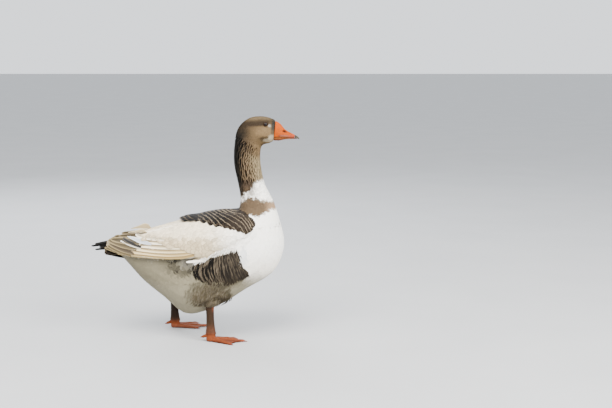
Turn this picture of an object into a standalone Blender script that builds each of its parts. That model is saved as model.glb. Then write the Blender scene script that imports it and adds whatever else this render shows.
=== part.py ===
"""Domestic goose (pied, grey-backed), standing with one foot ahead of the other, as a life-size still model.

Blender 4.5, metres, +Z up. The goose faces +X and its left side is +Y. Every named object is one closed piece,
and pieces that touch keep a gap of SEAM. The row origin is the middle of the bounding box, on the floor.
"""

import math

import bmesh
import bpy
import numpy as np
from mathutils import Vector
from mathutils.bvhtree import BVHTree

# ---------------------------------------------------------------- driving sizes
SEAM = 0.0004          # gap between neighbouring pieces
RING = 24              # points round each section of the body
STEPS = 3              # sections between two neighbouring stations

# Sections of the body from the root of the tail to the root of the bill. Each plane is given by its point on
# the back (x, z), its point on the underside (x, z), its half width, the share of its height at which it is
# widest, and how square it is (2 is an ellipse).
BODY = {
    "tail_root": (-0.212, 0.264, -0.210, 0.236, 0.036, 0.55, 2.2),
    "vent": (-0.186, 0.276, -0.185, 0.208, 0.058, 0.55, 2.1),
    "rump": (-0.146, 0.290, -0.141, 0.158, 0.078, 0.52, 2.1),
    "paunch": (-0.094, 0.309, -0.084, 0.112, 0.100, 0.48, 2.15),
    "belly": (-0.036, 0.335, -0.028, 0.066, 0.119, 0.46, 2.25),
    "loin": (0.022, 0.354, 0.026, 0.071, 0.127, 0.47, 2.25),
    "keel": (0.074, 0.363, 0.086, 0.0975, 0.128, 0.50, 2.2),
    "breast_low": (0.108, 0.364, 0.148, 0.137, 0.119, 0.52, 2.15),
    "breast": (0.124, 0.367, 0.225, 0.185, 0.103, 0.54, 2.1),
    "crop": (0.130, 0.374, 0.2565, 0.258, 0.084, 0.54, 2.0),
    "neck_root": (0.1325, 0.387, 0.2455, 0.327, 0.064, 0.52, 2.0),
    "neck_base": (0.1325, 0.404, 0.2265, 0.386, 0.047, 0.50, 2.0),
    "neck_low": (0.1270, 0.436, 0.2015, 0.436, 0.0375, 0.50, 2.0),
    "neck_mid": (0.1150, 0.496, 0.1895, 0.496, 0.0345, 0.50, 2.0),
    "neck_top": (0.1165, 0.552, 0.1905, 0.5385, 0.0325, 0.50, 2.0),
    "nape": (0.1270, 0.597, 0.1990, 0.5500, 0.0315, 0.48, 2.05),
    "crown": (0.1600, 0.6255, 0.2080, 0.5520, 0.0315, 0.46, 2.1),
    "brow": (0.2020, 0.6290, 0.2190, 0.5555, 0.0280, 0.44, 2.15),
    "bill_root": (0.2325, 0.6190, 0.2265, 0.5605, 0.0185, 0.40, 2.1),
}
CUTS = {"trunk": ("tail_root", "neck_root", 0.45), "neck_lower": ("neck_root", "neck_mid", 0.45),
        "neck_upper": ("neck_mid", "nape", -0.35), "head": ("nape", "bill_root", -0.35)}

# Folded wing, from the wrist to the tips of the long inner feathers: x, lower edge (y, z), upper edge (y, z),
# bulge of the outer face beyond the straight line between the edges, thickness, and how far (0 to 1) the wing
# lies on the flank instead of keeping to its own line.
WING = {
    "wrist": (0.176, 0.088, 0.316, 0.078, 0.340, 0.002, 0.008, 1.0),
    "forearm": (0.152, 0.110, 0.298, 0.066, 0.352, 0.006, 0.012, 1.0),
    "elbow": (0.100, 0.134, 0.271, 0.045, 0.357, 0.010, 0.016, 1.0),
    "arm": (0.040, 0.140, 0.250, 0.035, 0.352, 0.012, 0.018, 0.9),
    "coverts": (-0.020, 0.138, 0.240, 0.024, 0.337, 0.023, 0.020, 0.5),
    "inner_quills": (-0.090, 0.116, 0.239, 0.012, 0.316, 0.024, 0.018, 0.1),
    "over_rump": (-0.150, 0.093, 0.240, 0.007, 0.301, 0.019, 0.014, 0.0),
    "over_tail": (-0.200, 0.069, 0.243, 0.006, 0.291, 0.013, 0.010, 0.0),
    "quill_tips": (-0.232, 0.046, 0.252, 0.007, 0.283, 0.007, 0.006, 0.0),
    "end": (-0.250, 0.031, 0.262, 0.011, 0.277, 0.002, 0.003, 0.0),
}
WING_RIM = 0.0022      # how far the wing's rim stands out of the flank
# Primaries, the black quills whose ends stick out past the rest: the same columns.
PRIMARIES = {
    "root": (-0.196, 0.056, 0.2526, 0.0186, 0.2814, 0.006, 0.008, 0.0),
    "middle": (-0.232, 0.040, 0.2560, 0.0130, 0.2770, 0.004, 0.007, 0.0),
    "under_tips": (-0.252, 0.030, 0.2585, 0.0100, 0.2725, 0.002, 0.005, 0.0),
    "taper": (-0.277, 0.022, 0.2620, 0.0090, 0.2700, 0.001, 0.004, 0.0),
    "tips": (-0.300, 0.013, 0.2655, 0.0070, 0.2685, 0.0005, 0.002, 0.0),
}
# Tail: x, half width, middle height, thickness on the midline and how far its sides droop.
TAIL = {
    "root": (-0.2145, 0.036, 0.2470, 0.0240, 0.003),
    "coverts": (-0.2270, 0.044, 0.2450, 0.0150, 0.006),
    "quills": (-0.2400, 0.048, 0.2465, 0.0070, 0.007),
    "edge": (-0.2500, 0.047, 0.2490, 0.0032, 0.007),
    "end": (-0.2550, 0.040, 0.2510, 0.0020, 0.006),
}

# Bill: x, half width and the heights of the ridge and of the mouth, then of the lower edge of the jaw.
UPPER_BILL = {
    "root": (0.2277, 0.0158, 0.6165, 0.5725),
    "forehead": (0.2440, 0.0150, 0.6085, 0.5720),
    "nostril": (0.2590, 0.0136, 0.5925, 0.5712),
    "saddle": (0.2740, 0.0122, 0.5835, 0.5702),
    "before_nail": (0.2865, 0.0108, 0.5772, 0.5690),
}
NAIL = {
    "back": (0.2870, 0.0104, 0.5769, 0.5690),
    "crest": (0.2930, 0.0090, 0.5738, 0.5674),
    "hook": (0.2975, 0.0058, 0.5700, 0.5652),
    "tip": (0.2992, 0.0022, 0.5672, 0.5648),
}
LOWER_BILL = {
    "root": (0.2277, 0.0128, 0.5718, 0.5610),
    "gape": (0.2430, 0.0122, 0.5714, 0.5606),
    "middle": (0.2620, 0.0108, 0.5705, 0.5645),
    "front": (0.2850, 0.0080, 0.5683, 0.5655),
    "tip": (0.2925, 0.0035, 0.5668, 0.5655),
}
EYE_PLACE = (0.2050, 0.0212, 0.6065)
EYE_RADIUS = 0.0068
FACE_LEAN = 0.10        # how far the edge of the face feathers leans forward, metres for each metre up
LEAN_FADE = 0.032       # distance over which the bill loses that lean

# Legs: y is measured outwards from the midline, so one row serves either side.
FOOT_SPREAD = 0.085
ANKLE_HEIGHT = 0.021
LEGS = {
    "right": {"side": -1, "x": 0.0505, "thigh_top": (0.056, 0.058, 0.160)},
    "left": {"side": 1, "x": -0.0690, "thigh_top": (-0.056, 0.058, 0.158)},
}
SHANK_TOP = 0.118
# Scaled lower leg: share of its height, half its depth and half its width.
SHANK = {"foot": (0.0, 0.0135, 0.0095), "above_foot": (0.16, 0.0108, 0.0074), "middle": (0.48, 0.0091, 0.0062),
         "below_hock": (0.80, 0.0102, 0.0072), "hock": (1.0, 0.0128, 0.0092)}
# Feathered thigh, down from inside the belly: the same columns, counted from its top.
THIGH = {"top": (0.0, 0.030, 0.026), "bulge": (0.35, 0.037, 0.031), "calf": (0.72, 0.029, 0.025),
         "cuff": (0.93, 0.0195, 0.0165), "hem": (1.0, 0.0152, 0.0122)}
THIGH_HEM = 0.099
TOES = {"inner": (0.067, 18.0), "middle": (0.091, -4.5), "outer": (0.070, -37.0)}   # length to the claw, angle
TOE_RADIUS = (0.0078, 0.0034)
TOE_SINK = 0.30            # share of a toe's radius that its flat sole cuts off
CLAW_LENGTH = 0.0125
WEB_THICKNESS = 0.0017
HIND_TOE = {"length": 0.0125, "radius": 0.0046, "claw": 0.0062}

COLOURS = {
    "white_plumage": ("EDE9E0", 0.85), "neck_plumage": ("8A745A", 0.85), "head_plumage": ("8F7B62", 0.85),
    "wing_plumage": ("E4DCCD", 0.8), "quills": ("2B2724", 0.7), "tail_plumage": ("4A423B", 0.8),
    "bill": ("EE7A38", 0.45), "nail": ("8C857A", 0.4), "eye": ("1C120C", 0.1),
    "leg_skin": ("B5572F", 0.6), "claw": ("6E5A4C", 0.5),
}


FLANK_MIDDLE = 0.22    # height from which the flank curves away, up and down

# ---------------------------------------------------------------- small helpers
def clear_scene():
    for old in list(bpy.data.objects):
        bpy.data.objects.remove(old)


def new_collection(name, parent=None):
    made = bpy.data.collections.new(name)
    (parent or bpy.context.scene.collection).children.link(made)
    return made


def linear(hex_colour):
    """An sRGB hex colour as linear red, green, blue and alpha."""
    shares = [int(hex_colour[i:i + 2], 16) / 255 for i in (0, 2, 4)]
    return [s / 12.92 if s <= 0.04045 else ((s + 0.055) / 1.055) ** 2.4 for s in shares] + [1.0]


def material(name):
    found = bpy.data.materials.get(name)
    if found:
        return found
    made = bpy.data.materials.new(name)
    made.use_nodes = True
    shader = made.node_tree.nodes["Principled BSDF"]
    colour, roughness = COLOURS[name]
    shader.inputs["Base Color"].default_value = linear(colour)
    shader.inputs["Roughness"].default_value = roughness
    shader.inputs["Metallic"].default_value = 0.0
    return made


def new_object(name, mesh, finish, collection):
    made = bpy.data.objects.new(name, mesh)
    made.data.materials.append(material(finish))
    made.data.shade_smooth()
    made.data.set_sharp_from_angle(angle=math.radians(50))
    collection.objects.link(made)
    return made


def sections(table, steps=STEPS):
    """Rows read from a smooth curve through a table's rows, which keeps level where the table does."""
    rows = np.array(list(table.values()), float)
    slope = np.zeros_like(rows)
    slope[1:-1] = (rows[2:] - rows[:-2]) / 2
    slope[0], slope[-1] = rows[1] - rows[0], rows[-1] - rows[-2]
    made = []
    for i in range(len(rows) - 1):
        for t in np.arange(steps) / steps:
            h = np.array([2 * t**3 - 3 * t**2 + 1, t**3 - 2 * t**2 + t, -2 * t**3 + 3 * t**2, t**3 - t**2])
            made.append(h[0] * rows[i] + h[1] * slope[i] + h[2] * rows[i + 1] + h[3] * slope[i + 1])
    return np.array([*made, rows[-1]])


def loft(rings):
    """A closed mesh of triangles through rings of as many points each, with a flat end over the first and last."""
    form = bmesh.new()
    loops = [[form.verts.new(p) for p in ring] for ring in rings]
    count = len(loops[0])
    for a, b in zip(loops, loops[1:]):
        for i in range(count):
            j = (i + 1) % count
            form.faces.new((a[i], a[j], b[j], b[i]))
    form.faces.new(loops[0])
    form.faces.new(loops[-1][::-1])
    bmesh.ops.recalc_face_normals(form, faces=form.faces)
    bmesh.ops.triangulate(form, faces=form.faces)
    mesh = bpy.data.meshes.new("loft")
    form.to_mesh(mesh)
    form.free()
    return mesh


def mirrored_right(mesh):
    """The same mesh on the other side of the midline."""
    form = bmesh.new()
    form.from_mesh(mesh)
    bmesh.ops.scale(form, vec=(1, -1, 1), verts=form.verts)
    bmesh.ops.reverse_faces(form, faces=form.faces)
    made = bpy.data.meshes.new("mirrored")
    form.to_mesh(made)
    form.free()
    return made


def surface_tree(mesh):
    """A search tree for rays and nearest points on a mesh."""
    form = bmesh.new()
    form.from_mesh(mesh)
    tree = BVHTree.FromBMesh(form)
    form.free()
    return tree


def cut(target, tool, operation="DIFFERENCE"):
    step = target.modifiers.new(operation.lower(), "BOOLEAN")
    step.operation = operation
    step.object = tool
    step.solver = "EXACT"


def helper(mesh, collection, grow=0.0):
    """A hidden cutter, swollen by grow along its normals."""
    made = bpy.data.objects.new("cutter", mesh)
    made.hide_render = True
    made.display_type = "WIRE"
    collection.objects.link(made)
    if grow:
        swell = made.modifiers.new("swell", "DISPLACE")
        swell.strength = grow
        swell.mid_level = 0.0
    return made


# ---------------------------------------------------------------- trunk, neck and head
def body_ring(row, shift=0.0):
    """One section of the body: a superellipse that is widest at its own level."""
    back, under = Vector((row[0], 0, row[1])), Vector((row[2], 0, row[3]))
    upright = back - under
    ahead = Vector((upright.z, 0, -upright.x)).normalized()
    widest = under + upright * row[5]
    ring = []
    for k in range(RING):
        angle = 2 * math.pi * (k + 0.5) / RING
        c, s = math.cos(angle), math.sin(angle)
        out = math.copysign(abs(c) ** (2 / row[6]), c) * row[4]
        rise = math.copysign(abs(s) ** (2 / row[6]), s)
        reach = (1 - row[5]) if s > 0 else row[5]
        ring.append(widest + upright * (rise * reach) + Vector((0, out, 0)) + ahead * shift)
    return ring


def body_pieces():
    """The body as one smooth form, parted across its length with thin cuts."""
    rows = sections(BODY)
    names = list(BODY)
    meshes = {}
    for piece, (first, last, last_share) in CUTS.items():
        start = names.index(first) * STEPS
        end = names.index(last) * STEPS
        if piece != "trunk":
            start += round(CUTS[previous][2] * STEPS)
        if piece != "head":
            end += round(last_share * STEPS)
        chosen = rows[start:end + 1]
        shifts = np.zeros(len(chosen))
        if piece != "trunk":
            shifts[0] = SEAM / 2
        if piece != "head":
            shifts[-1] = -SEAM / 2
        meshes[piece] = loft([body_ring(row, shift) for row, shift in zip(chosen, shifts)])
        previous = piece
    return meshes


def eye_mesh(side):
    form = bmesh.new()
    bmesh.ops.create_uvsphere(form, u_segments=12, v_segments=8, radius=EYE_RADIUS)
    bmesh.ops.translate(form, vec=(EYE_PLACE[0], side * EYE_PLACE[1], EYE_PLACE[2]), verts=form.verts)
    mesh = bpy.data.meshes.new("eye")
    form.to_mesh(mesh)
    form.free()
    return mesh


# ---------------------------------------------------------------- bill
def leant(x, z, first):
    """The place along the bill of a point at height z, leaning with the edge of the face near its root."""
    fade = max(0.0, 1 - (x - first) / LEAN_FADE)
    return x + SEAM * 1.5 + (z - UPPER_BILL["root"][3]) * FACE_LEAN * fade


def upper_ring(row, points=9):
    """An arch over a flat mouth line, and narrower towards its ridge the higher it stands."""
    x, half, ridge, mouth = row
    sharp = 1.0 + 12.0 * max(ridge - mouth - 0.012, 0.0)
    arch = []
    for k in range(points):
        angle = math.pi * k / (points - 1)
        z = mouth + (ridge - mouth) * math.sin(angle) ** sharp
        arch.append(Vector((leant(x, z, UPPER_BILL["root"][0]), half * math.cos(angle), z)))
    return arch


def lower_ring(row, points=7):
    """The jaw below that line: a shallow trough."""
    x, half, mouth, keel = row
    trough = []
    for k in range(points):
        angle = math.pi * k / (points - 1)
        z = mouth + (keel - mouth) * math.sin(angle)
        trough.append(Vector((leant(x, z, LOWER_BILL["root"][0]), half * math.cos(angle), z)))
    return trough


# ---------------------------------------------------------------- wings and tail
def blade_ring(row, flank=None, points=9):
    """A curved, closed section between a lower and an upper edge, laid on the flank where the row asks for it."""
    x, low_y, low_z, up_y, up_z, bulge, thick, hug = row
    low, up = Vector((x, low_y, low_z)), Vector((x, up_y, up_z))
    along = up - low
    outward = Vector((0, along.z, -along.y)).normalized()
    outer, inner = [], []
    for k in range(points):
        share = k / (points - 1)
        arch = math.sin(math.pi * share)
        free = low + along * share
        base, normal = free, outward
        found = flank.ray_cast(Vector((x, 1, free.z)), Vector((0, -1, 0)))[0] if flank and hug else None
        if found:
            normal = outward.lerp(Vector((0, found.y, (found.z - FLANK_MIDDLE) * 0.9)).normalized(), hug).normalized()
            base = free.lerp(found + normal * WING_RIM, hug)
        rim = WING_RIM * 2 * hug * (1 - arch)
        outer.append(base + normal * (bulge * arch + 0.0006))
        inner.append(base + normal * ((bulge - thick) * arch - 0.0006 - rim))
    return outer + inner[::-1]


def tail_ring(row, points=8):
    x, half, middle, thick, droop = row
    turns = np.linspace(-1, 1, points)
    top = [Vector((x, half * t, middle - droop * t * t + thick / 2 * math.sqrt(1 - 0.92 * t * t))) for t in turns]
    under = [
        Vector((x, half * t, middle - droop * t * t - thick / 2 * math.sqrt(1 - 0.92 * t * t)))
        for t in turns[::-1]
    ]
    return top + under


# ---------------------------------------------------------------- legs and feet
def oval(centre, fore, wide, points=12, ahead=Vector((1, 0, 0)), aside=Vector((0, 1, 0))):
    turns = [2 * math.pi * k / points for k in range(points)]
    return [centre + ahead * (fore * math.cos(a)) + aside * (wide * math.sin(a)) for a in turns]


def shank_mesh(leg):
    """The scaled lower leg, from the foot up into the thigh feathers."""
    foot = Vector((leg["x"], leg["side"] * FOOT_SPREAD, ANKLE_HEIGHT))
    hock = Vector((leg["x"] - 0.003, leg["side"] * (FOOT_SPREAD - 0.004), SHANK_TOP))
    return loft([oval(foot.lerp(hock, row[0]), row[1], row[2]) for row in sections(SHANK, 2)])


def thigh_mesh(leg):
    """Feathered thigh: a rounded cone that leaves the belly and closes round the lower leg."""
    x, y, z = leg["thigh_top"]
    top = Vector((x, leg["side"] * y, z))
    hem = Vector((leg["x"] - 0.001, leg["side"] * (FOOT_SPREAD - 0.003), THIGH_HEM))
    return loft([oval(top.lerp(hem, row[0]), row[1], row[2], 14) for row in sections(THIGH, 2)])


def toe_direction(leg, angle):
    turn = math.radians(angle * -leg["side"])
    return Vector((math.cos(turn), math.sin(turn), 0))


def toe_mesh(leg, length, angle):
    """A toe with its knuckles, lying on a sole that is cut flat afterwards."""
    ahead = toe_direction(leg, angle)
    aside = Vector((-ahead.y, ahead.x, 0))
    ball = Vector((leg["x"], leg["side"] * FOOT_SPREAD, 0))
    rings = []
    for share in np.linspace(0, 1, 8):
        radius = TOE_RADIUS[0] + (TOE_RADIUS[1] - TOE_RADIUS[0]) * share
        radius *= 1 + 0.07 * math.cos(share * 6 * math.pi)
        centre = ball + ahead * (length * share) + Vector((0, 0, radius * (1 - TOE_SINK)))
        rings.append([
            centre + aside * (radius * math.cos(a)) + Vector((0, 0, radius * math.sin(a)))
            for a in (2 * math.pi * (k + 0.5) / 8 for k in range(8))
        ])
    return loft(rings)


def web_mesh(leg):
    """The webs: one flat sheet from the ball of the foot, scalloped between the ends of the toes."""
    ball = Vector((leg["x"] - 0.004, leg["side"] * FOOT_SPREAD, 0))
    ends = [ball + toe_direction(leg, angle) * (length * 0.97) for length, angle in TOES.values()]
    outline = [ball]
    for a, b in zip(ends, ends[1:]):
        middle = (a + b) / 2
        for share in np.linspace(0, 1, 7)[: 7 if b is ends[-1] else 6]:
            scallop = 0.34 * math.sin(math.pi * share)
            outline.append(a.lerp(b, share) + (ball - middle) * scallop)
    form = bmesh.new()
    sole = form.faces.new([form.verts.new(p - Vector((0, 0, 0.002))) for p in outline])
    raised = bmesh.ops.extrude_face_region(form, geom=[sole])["geom"]
    lifted = [v for v in raised if isinstance(v, bmesh.types.BMVert)]
    bmesh.ops.translate(form, vec=(0, 0, 0.002 + WEB_THICKNESS), verts=lifted)
    bmesh.ops.recalc_face_normals(form, faces=form.faces)
    mesh = bpy.data.meshes.new("web")
    form.to_mesh(mesh)
    form.free()
    return mesh


def ball_mesh(leg):
    """The joint over the toes, where the shank stands on the foot."""
    shape = {"sole": (-0.003, 0.0100, 0.0085), "low": (0.004, 0.0125, 0.0100), "top": (ANKLE_HEIGHT - SEAM, 0.0118, 0.0085)}
    place = Vector((leg["x"], leg["side"] * FOOT_SPREAD, 0))
    return loft([oval(place + Vector((0, 0, r[0])), r[1], r[2]) for r in sections(shape, 3)])


def claw_mesh(leg, length, angle):
    """A curved claw, just past the end of its toe and clear of the floor."""
    ahead = toe_direction(leg, angle)
    aside = Vector((-ahead.y, ahead.x, 0))
    ball = Vector((leg["x"], leg["side"] * FOOT_SPREAD, 0))
    base = TOE_RADIUS[1]
    rings = []
    for share in (0, 0.35, 0.7, 1):
        radius = base * (0.86 - 0.68 * share)
        drop = base * 0.55 * share**2
        centre = ball + ahead * (length + SEAM + CLAW_LENGTH * share)
        centre.z = base * (1 - TOE_SINK) + 0.0006 - drop
        rings.append(oval(centre, radius * 0.8, radius * 0.9, 6, aside, Vector((0, 0, 1))))
    return loft(rings)


def hind_toe_mesh(leg, claw=False):
    """The short raised toe behind the foot, or the claw at its end."""
    side = leg["side"]
    back = Vector((-0.94, -side * 0.20, -0.30)).normalized()
    aside = Vector((back.y, -back.x, 0)).normalized()
    up = aside.cross(back).normalized()
    root = Vector((leg["x"] - 0.0124, side * FOOT_SPREAD, 0.0165))
    start, end = (HIND_TOE["length"] + SEAM, HIND_TOE["length"] + HIND_TOE["claw"]) if claw else (0, HIND_TOE["length"])
    widths = (0.62, 0.16) if claw else (1.0, 0.72)
    rings = []
    for share in np.linspace(0, 1, 4):
        radius = HIND_TOE["radius"] * (widths[0] + (widths[1] - widths[0]) * share)
        centre = root + back * (start + (end - start) * share)
        rings.append(oval(centre, radius, radius, 10, aside, up))
    return loft(rings)


# ---------------------------------------------------------------- build
def build():
    clear_scene()
    goose = new_collection("domestic_goose")
    tools = new_collection("cutters")

    body = body_pieces()
    finishes = {"trunk": "white_plumage", "neck_lower": "neck_plumage", "neck_upper": "neck_plumage",
                "head": "head_plumage"}
    made = {name: new_object(name, mesh, finishes[name], goose) for name, mesh in body.items()}
    trunk_cutter = helper(body["trunk"].copy(), tools, SEAM)

    flank = surface_tree(body["trunk"])
    wing = loft([blade_ring(row, flank) for row in sections(WING, 2)])
    primaries = loft([blade_ring(row, points=6) for row in sections(PRIMARIES, 2)])
    made["tail"] = new_object("tail", loft([tail_ring(row) for row in sections(TAIL, 2)]), "tail_plumage", goose)
    for side, turned in (("left", lambda m: m), ("right", mirrored_right)):
        made["wing_" + side] = new_object("wing_" + side, turned(wing.copy()), "wing_plumage", goose)
        swollen = helper(turned(wing.copy()), tools, SEAM)
        cut(made["trunk"], swollen)
        cut(made["tail"], swollen)
        quills = new_object("primaries_" + side, turned(primaries.copy()), "quills", goose)
        cut(quills, swollen)
        quill_cutter = helper(turned(primaries.copy()), tools, SEAM)
        cut(made["trunk"], quill_cutter)
        cut(made["tail"], quill_cutter)

    for side, sign in (("left", 1), ("right", -1)):
        new_object("eye_" + side, eye_mesh(sign), "eye", goose)
        cut(made["head"], helper(eye_mesh(sign), tools, SEAM))
    new_object("bill_upper", loft([upper_ring(row) for row in sections(UPPER_BILL, 3)]), "bill", goose)
    new_object("bill_nail", loft([upper_ring(row) for row in sections(NAIL, 2)]), "nail", goose)
    new_object("bill_lower", loft([lower_ring(row) for row in sections(LOWER_BILL, 3)]), "bill", goose)

    for name, leg in LEGS.items():
        shank = shank_mesh(leg)
        thigh = new_object("thigh_" + name, thigh_mesh(leg), "white_plumage", goose)
        cut(thigh, trunk_cutter)
        cut(thigh, helper(shank.copy(), tools, SEAM))
        lower = new_object("shank_" + name, shank, "leg_skin", goose)
        cut(lower, trunk_cutter)
        foot = new_object("foot_" + name, ball_mesh(leg), "leg_skin", goose)
        cut(foot, helper(web_mesh(leg), tools), "UNION")
        for toe, (length, angle) in TOES.items():
            cut(foot, helper(toe_mesh(leg, length, angle), tools), "UNION")
            new_object(f"claw_{name}_{toe}", claw_mesh(leg, length, angle), "claw", goose)
        floor = bmesh.new()
        bmesh.ops.create_cube(floor, size=0.4)
        bmesh.ops.translate(floor, vec=(leg["x"], leg["side"] * FOOT_SPREAD, -0.2), verts=floor.verts)
        floor_mesh = bpy.data.meshes.new("floor")
        floor.to_mesh(floor_mesh)
        floor.free()
        cut(foot, helper(floor_mesh, tools))
        hind = new_object("hind_toe_" + name, hind_toe_mesh(leg), "leg_skin", goose)
        cut(hind, helper(ball_mesh(leg), tools, SEAM))
        cut(hind, helper(shank.copy(), tools, SEAM))
        new_object(f"claw_{name}_hind", hind_toe_mesh(leg, claw=True), "claw", goose)
    centre_on_floor(goose)


def centre_on_floor(collection):
    """Moves everything so that the origin is the middle of the bounding box, on the floor."""
    bpy.context.view_layer.update()
    graph = bpy.context.evaluated_depsgraph_get()
    corners = [Vector(c) for o in collection.objects for c in o.evaluated_get(graph).bound_box]
    low = Vector(map(min, *corners))
    high = Vector(map(max, *corners))
    shift = Vector(((low.x + high.x) / -2, (low.y + high.y) / -2, -low.z))
    for piece in bpy.data.objects:
        piece.location = shift


build()
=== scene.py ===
# %% [markdown]
# # A pied domestic goose, dressed feather by feather
# The solids of the goose are fixed: they give its outline out to the feather tips. This lesson lays one
# skin inside them, covers it with some fifteen thousand thin closed feathers that follow the lie of the
# plumage, and finishes the bare parts: bill, eyes, legs, webs and claws.

# %% Loading the fixed solids
import math

import bmesh
import bpy
import numpy as np
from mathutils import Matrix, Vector
from mathutils.bvhtree import BVHTree
from mathutils.kdtree import KDTree


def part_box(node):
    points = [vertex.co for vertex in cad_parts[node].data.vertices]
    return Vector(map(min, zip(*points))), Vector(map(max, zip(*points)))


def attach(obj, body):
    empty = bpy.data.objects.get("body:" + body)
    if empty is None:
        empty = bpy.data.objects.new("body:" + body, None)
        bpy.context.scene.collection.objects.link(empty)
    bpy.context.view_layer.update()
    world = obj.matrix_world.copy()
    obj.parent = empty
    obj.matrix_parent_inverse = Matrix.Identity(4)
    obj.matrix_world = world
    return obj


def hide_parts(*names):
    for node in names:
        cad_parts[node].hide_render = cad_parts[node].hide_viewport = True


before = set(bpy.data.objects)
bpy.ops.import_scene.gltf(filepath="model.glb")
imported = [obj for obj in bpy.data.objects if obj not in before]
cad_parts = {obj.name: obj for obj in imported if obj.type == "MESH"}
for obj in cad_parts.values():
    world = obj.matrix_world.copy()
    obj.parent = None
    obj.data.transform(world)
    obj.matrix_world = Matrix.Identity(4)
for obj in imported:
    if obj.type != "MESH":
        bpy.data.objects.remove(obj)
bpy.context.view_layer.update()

MM = 0.001
rng = np.random.default_rng(11)

# %% [markdown]
# ## Small tools for materials
# A colour picked on a screen is stored bent to suit the eye, while a shader adds light, so each hex value is
# made linear first. One helper adds any node with its settings and links, which keeps every material short.

# %% Colour, node and material helpers
def linear(hex_colour):
    """An sRGB hex colour as linear red, green, blue and alpha."""
    shares = [int(hex_colour[i:i + 2], 16) / 255 for i in (0, 2, 4)]
    return [s / 12.92 if s <= 0.04045 else ((s + 0.055) / 1.055) ** 2.4 for s in shares] + [1.0]


def rgb(hex_colour):
    return np.array(linear(hex_colour)[:3])


def add_node(tree, kind, inputs=None, **settings):
    """Adds a node; each entry of inputs is a plain value or the socket that feeds it."""
    node = tree.nodes.new(kind)
    for key, value in settings.items():
        setattr(node, key, value)
    for key, value in (inputs or {}).items():
        if isinstance(value, bpy.types.NodeSocket):
            tree.links.new(value, node.inputs[key])
        else:
            node.inputs[key].default_value = value
    return node


def new_material(name, **values):
    """A material whose Principled shader starts from the given values, with its tree and that shader."""
    made = bpy.data.materials.new(name)
    made.use_nodes = True
    shader = made.node_tree.nodes["Principled BSDF"]
    for key, value in values.items():
        shader.inputs[key.replace("_", " ").title().replace("Ior", "IOR")].default_value = value
    return made, made.node_tree, shader


print("helpers ready")

# %% [markdown]
# ## Camera, floor and light
# The goose is seen from its right side by someone standing a little over three metres away, looking slightly
# down through a moderately long lens. A pale floor and three large soft lamps stand in for a bright
# overcast day over snow, which lights a white bird from above and, off the ground, from below.

# %% Camera
CAMERA_PLACE = (0.319, -3.27, 0.81)
camera = bpy.data.objects.new("camera", bpy.data.cameras.new("camera"))
camera.location = CAMERA_PLACE
camera.rotation_euler = (math.radians(90 - 7.5), 0, 0)
camera.data.sensor_width = 36
camera.data.lens = 68
bpy.context.scene.collection.objects.link(camera)
bpy.context.scene.camera = camera

# %% Floor, lamps and sky
def mesh_from(form, name="form"):
    """Ends a bmesh form as a mesh."""
    mesh = bpy.data.meshes.new(name)
    form.to_mesh(mesh)
    form.free()
    return mesh


def soft_lamp(name, place, size, power, colour):
    lamp = bpy.data.objects.new(name, bpy.data.lights.new(name, "AREA"))
    lamp.location = place
    lamp.rotation_euler = (Vector((0, 0, 0.3)) - Vector(place)).to_track_quat("-Z", "Y").to_euler()
    lamp.data.shape = "DISK"
    lamp.data.size = size
    lamp.data.energy = power
    lamp.data.color = linear(colour)[:3]
    bpy.context.scene.collection.objects.link(lamp)


soft_lamp("key_light", (-0.8, -2.2, 3.2), 2.6, 345, "FFFCF6")
soft_lamp("fill_light", (2.6, -2.0, 1.8), 2.4, 290, "FBF9F4")
soft_lamp("back_light", (-1.2, 2.8, 2.4), 2.4, 125, "F4F8FF")

sky = bpy.data.worlds.new("sky")
sky.use_nodes = True
sky.node_tree.nodes["Background"].inputs["Color"].default_value = linear("EDF1F6")
sky.node_tree.nodes["Background"].inputs["Strength"].default_value = 1.80
bpy.context.scene.world = sky

floor_form = bmesh.new()
bmesh.ops.create_grid(floor_form, x_segments=8, y_segments=8, size=40)
floor = bpy.data.objects.new("floor", mesh_from(floor_form, "floor"))
bpy.context.scene.collection.objects.link(floor)
# Matt paint gives the floor no highlight, only a faint cloudiness.
paint, tree, shader = new_material("pale_matt_floor_paint", roughness=0.85)
coords = add_node(tree, "ShaderNodeTexCoord").outputs["Object"]
mottle = add_node(tree, "ShaderNodeTexNoise", {"Vector": coords, "Scale": 3.0, "Detail": 4.0})
tone = add_node(tree, "ShaderNodeMix",
                {"Factor": mottle.outputs["Fac"], 6: linear("A3A4A6"), 7: linear("AEAFB0")},
                data_type="RGBA")
tree.links.new(tone.outputs[2], shader.inputs["Base Color"])
floor.data.materials.append(paint)
print("stage set")

# %% [markdown]
# ## The line of the body
# Feathers grow backwards from the bill, down the neck and along the trunk to the tail. One smooth line
# through the middle of the bird gives that direction everywhere, and with it two handy coordinates for any
# point of the surface: how far it lies along the line, and how far round from the back towards the belly.

# %% Middle line and body coordinates
BODY_LINE = {
    "bill_root": (0.2295, 0.590), "eye": (0.198, 0.592), "poll": (0.166, 0.578), "neck_top": (0.153, 0.545),
    "neck_middle": (0.1525, 0.496), "neck_low": (0.164, 0.436), "neck_base": (0.180, 0.394),
    "crop": (0.190, 0.350), "shoulder": (0.187, 0.308), "breast": (0.160, 0.272), "chest": (0.118, 0.247),
    "middle": (0.070, 0.232), "loin": (0.020, 0.215), "belly": (-0.035, 0.205), "paunch": (-0.090, 0.212),
    "rump": (-0.145, 0.226), "vent": (-0.188, 0.243), "tail_root": (-0.215, 0.250),
    "tail_tip": (-0.262, 0.254),
}
rows = np.array(list(BODY_LINE.values()))
for _ in range(3):  # corner cutting turns the few points into a smooth line
    near, far = rows[:-1], rows[1:]
    cut = np.stack([near * 0.75 + far * 0.25, near * 0.25 + far * 0.75], 1).reshape(-1, 2)
    rows = np.concatenate([rows[:1], cut, rows[-1:]])
line = np.stack([rows[:, 0], np.zeros(len(rows)), rows[:, 1]], 1)
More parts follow.
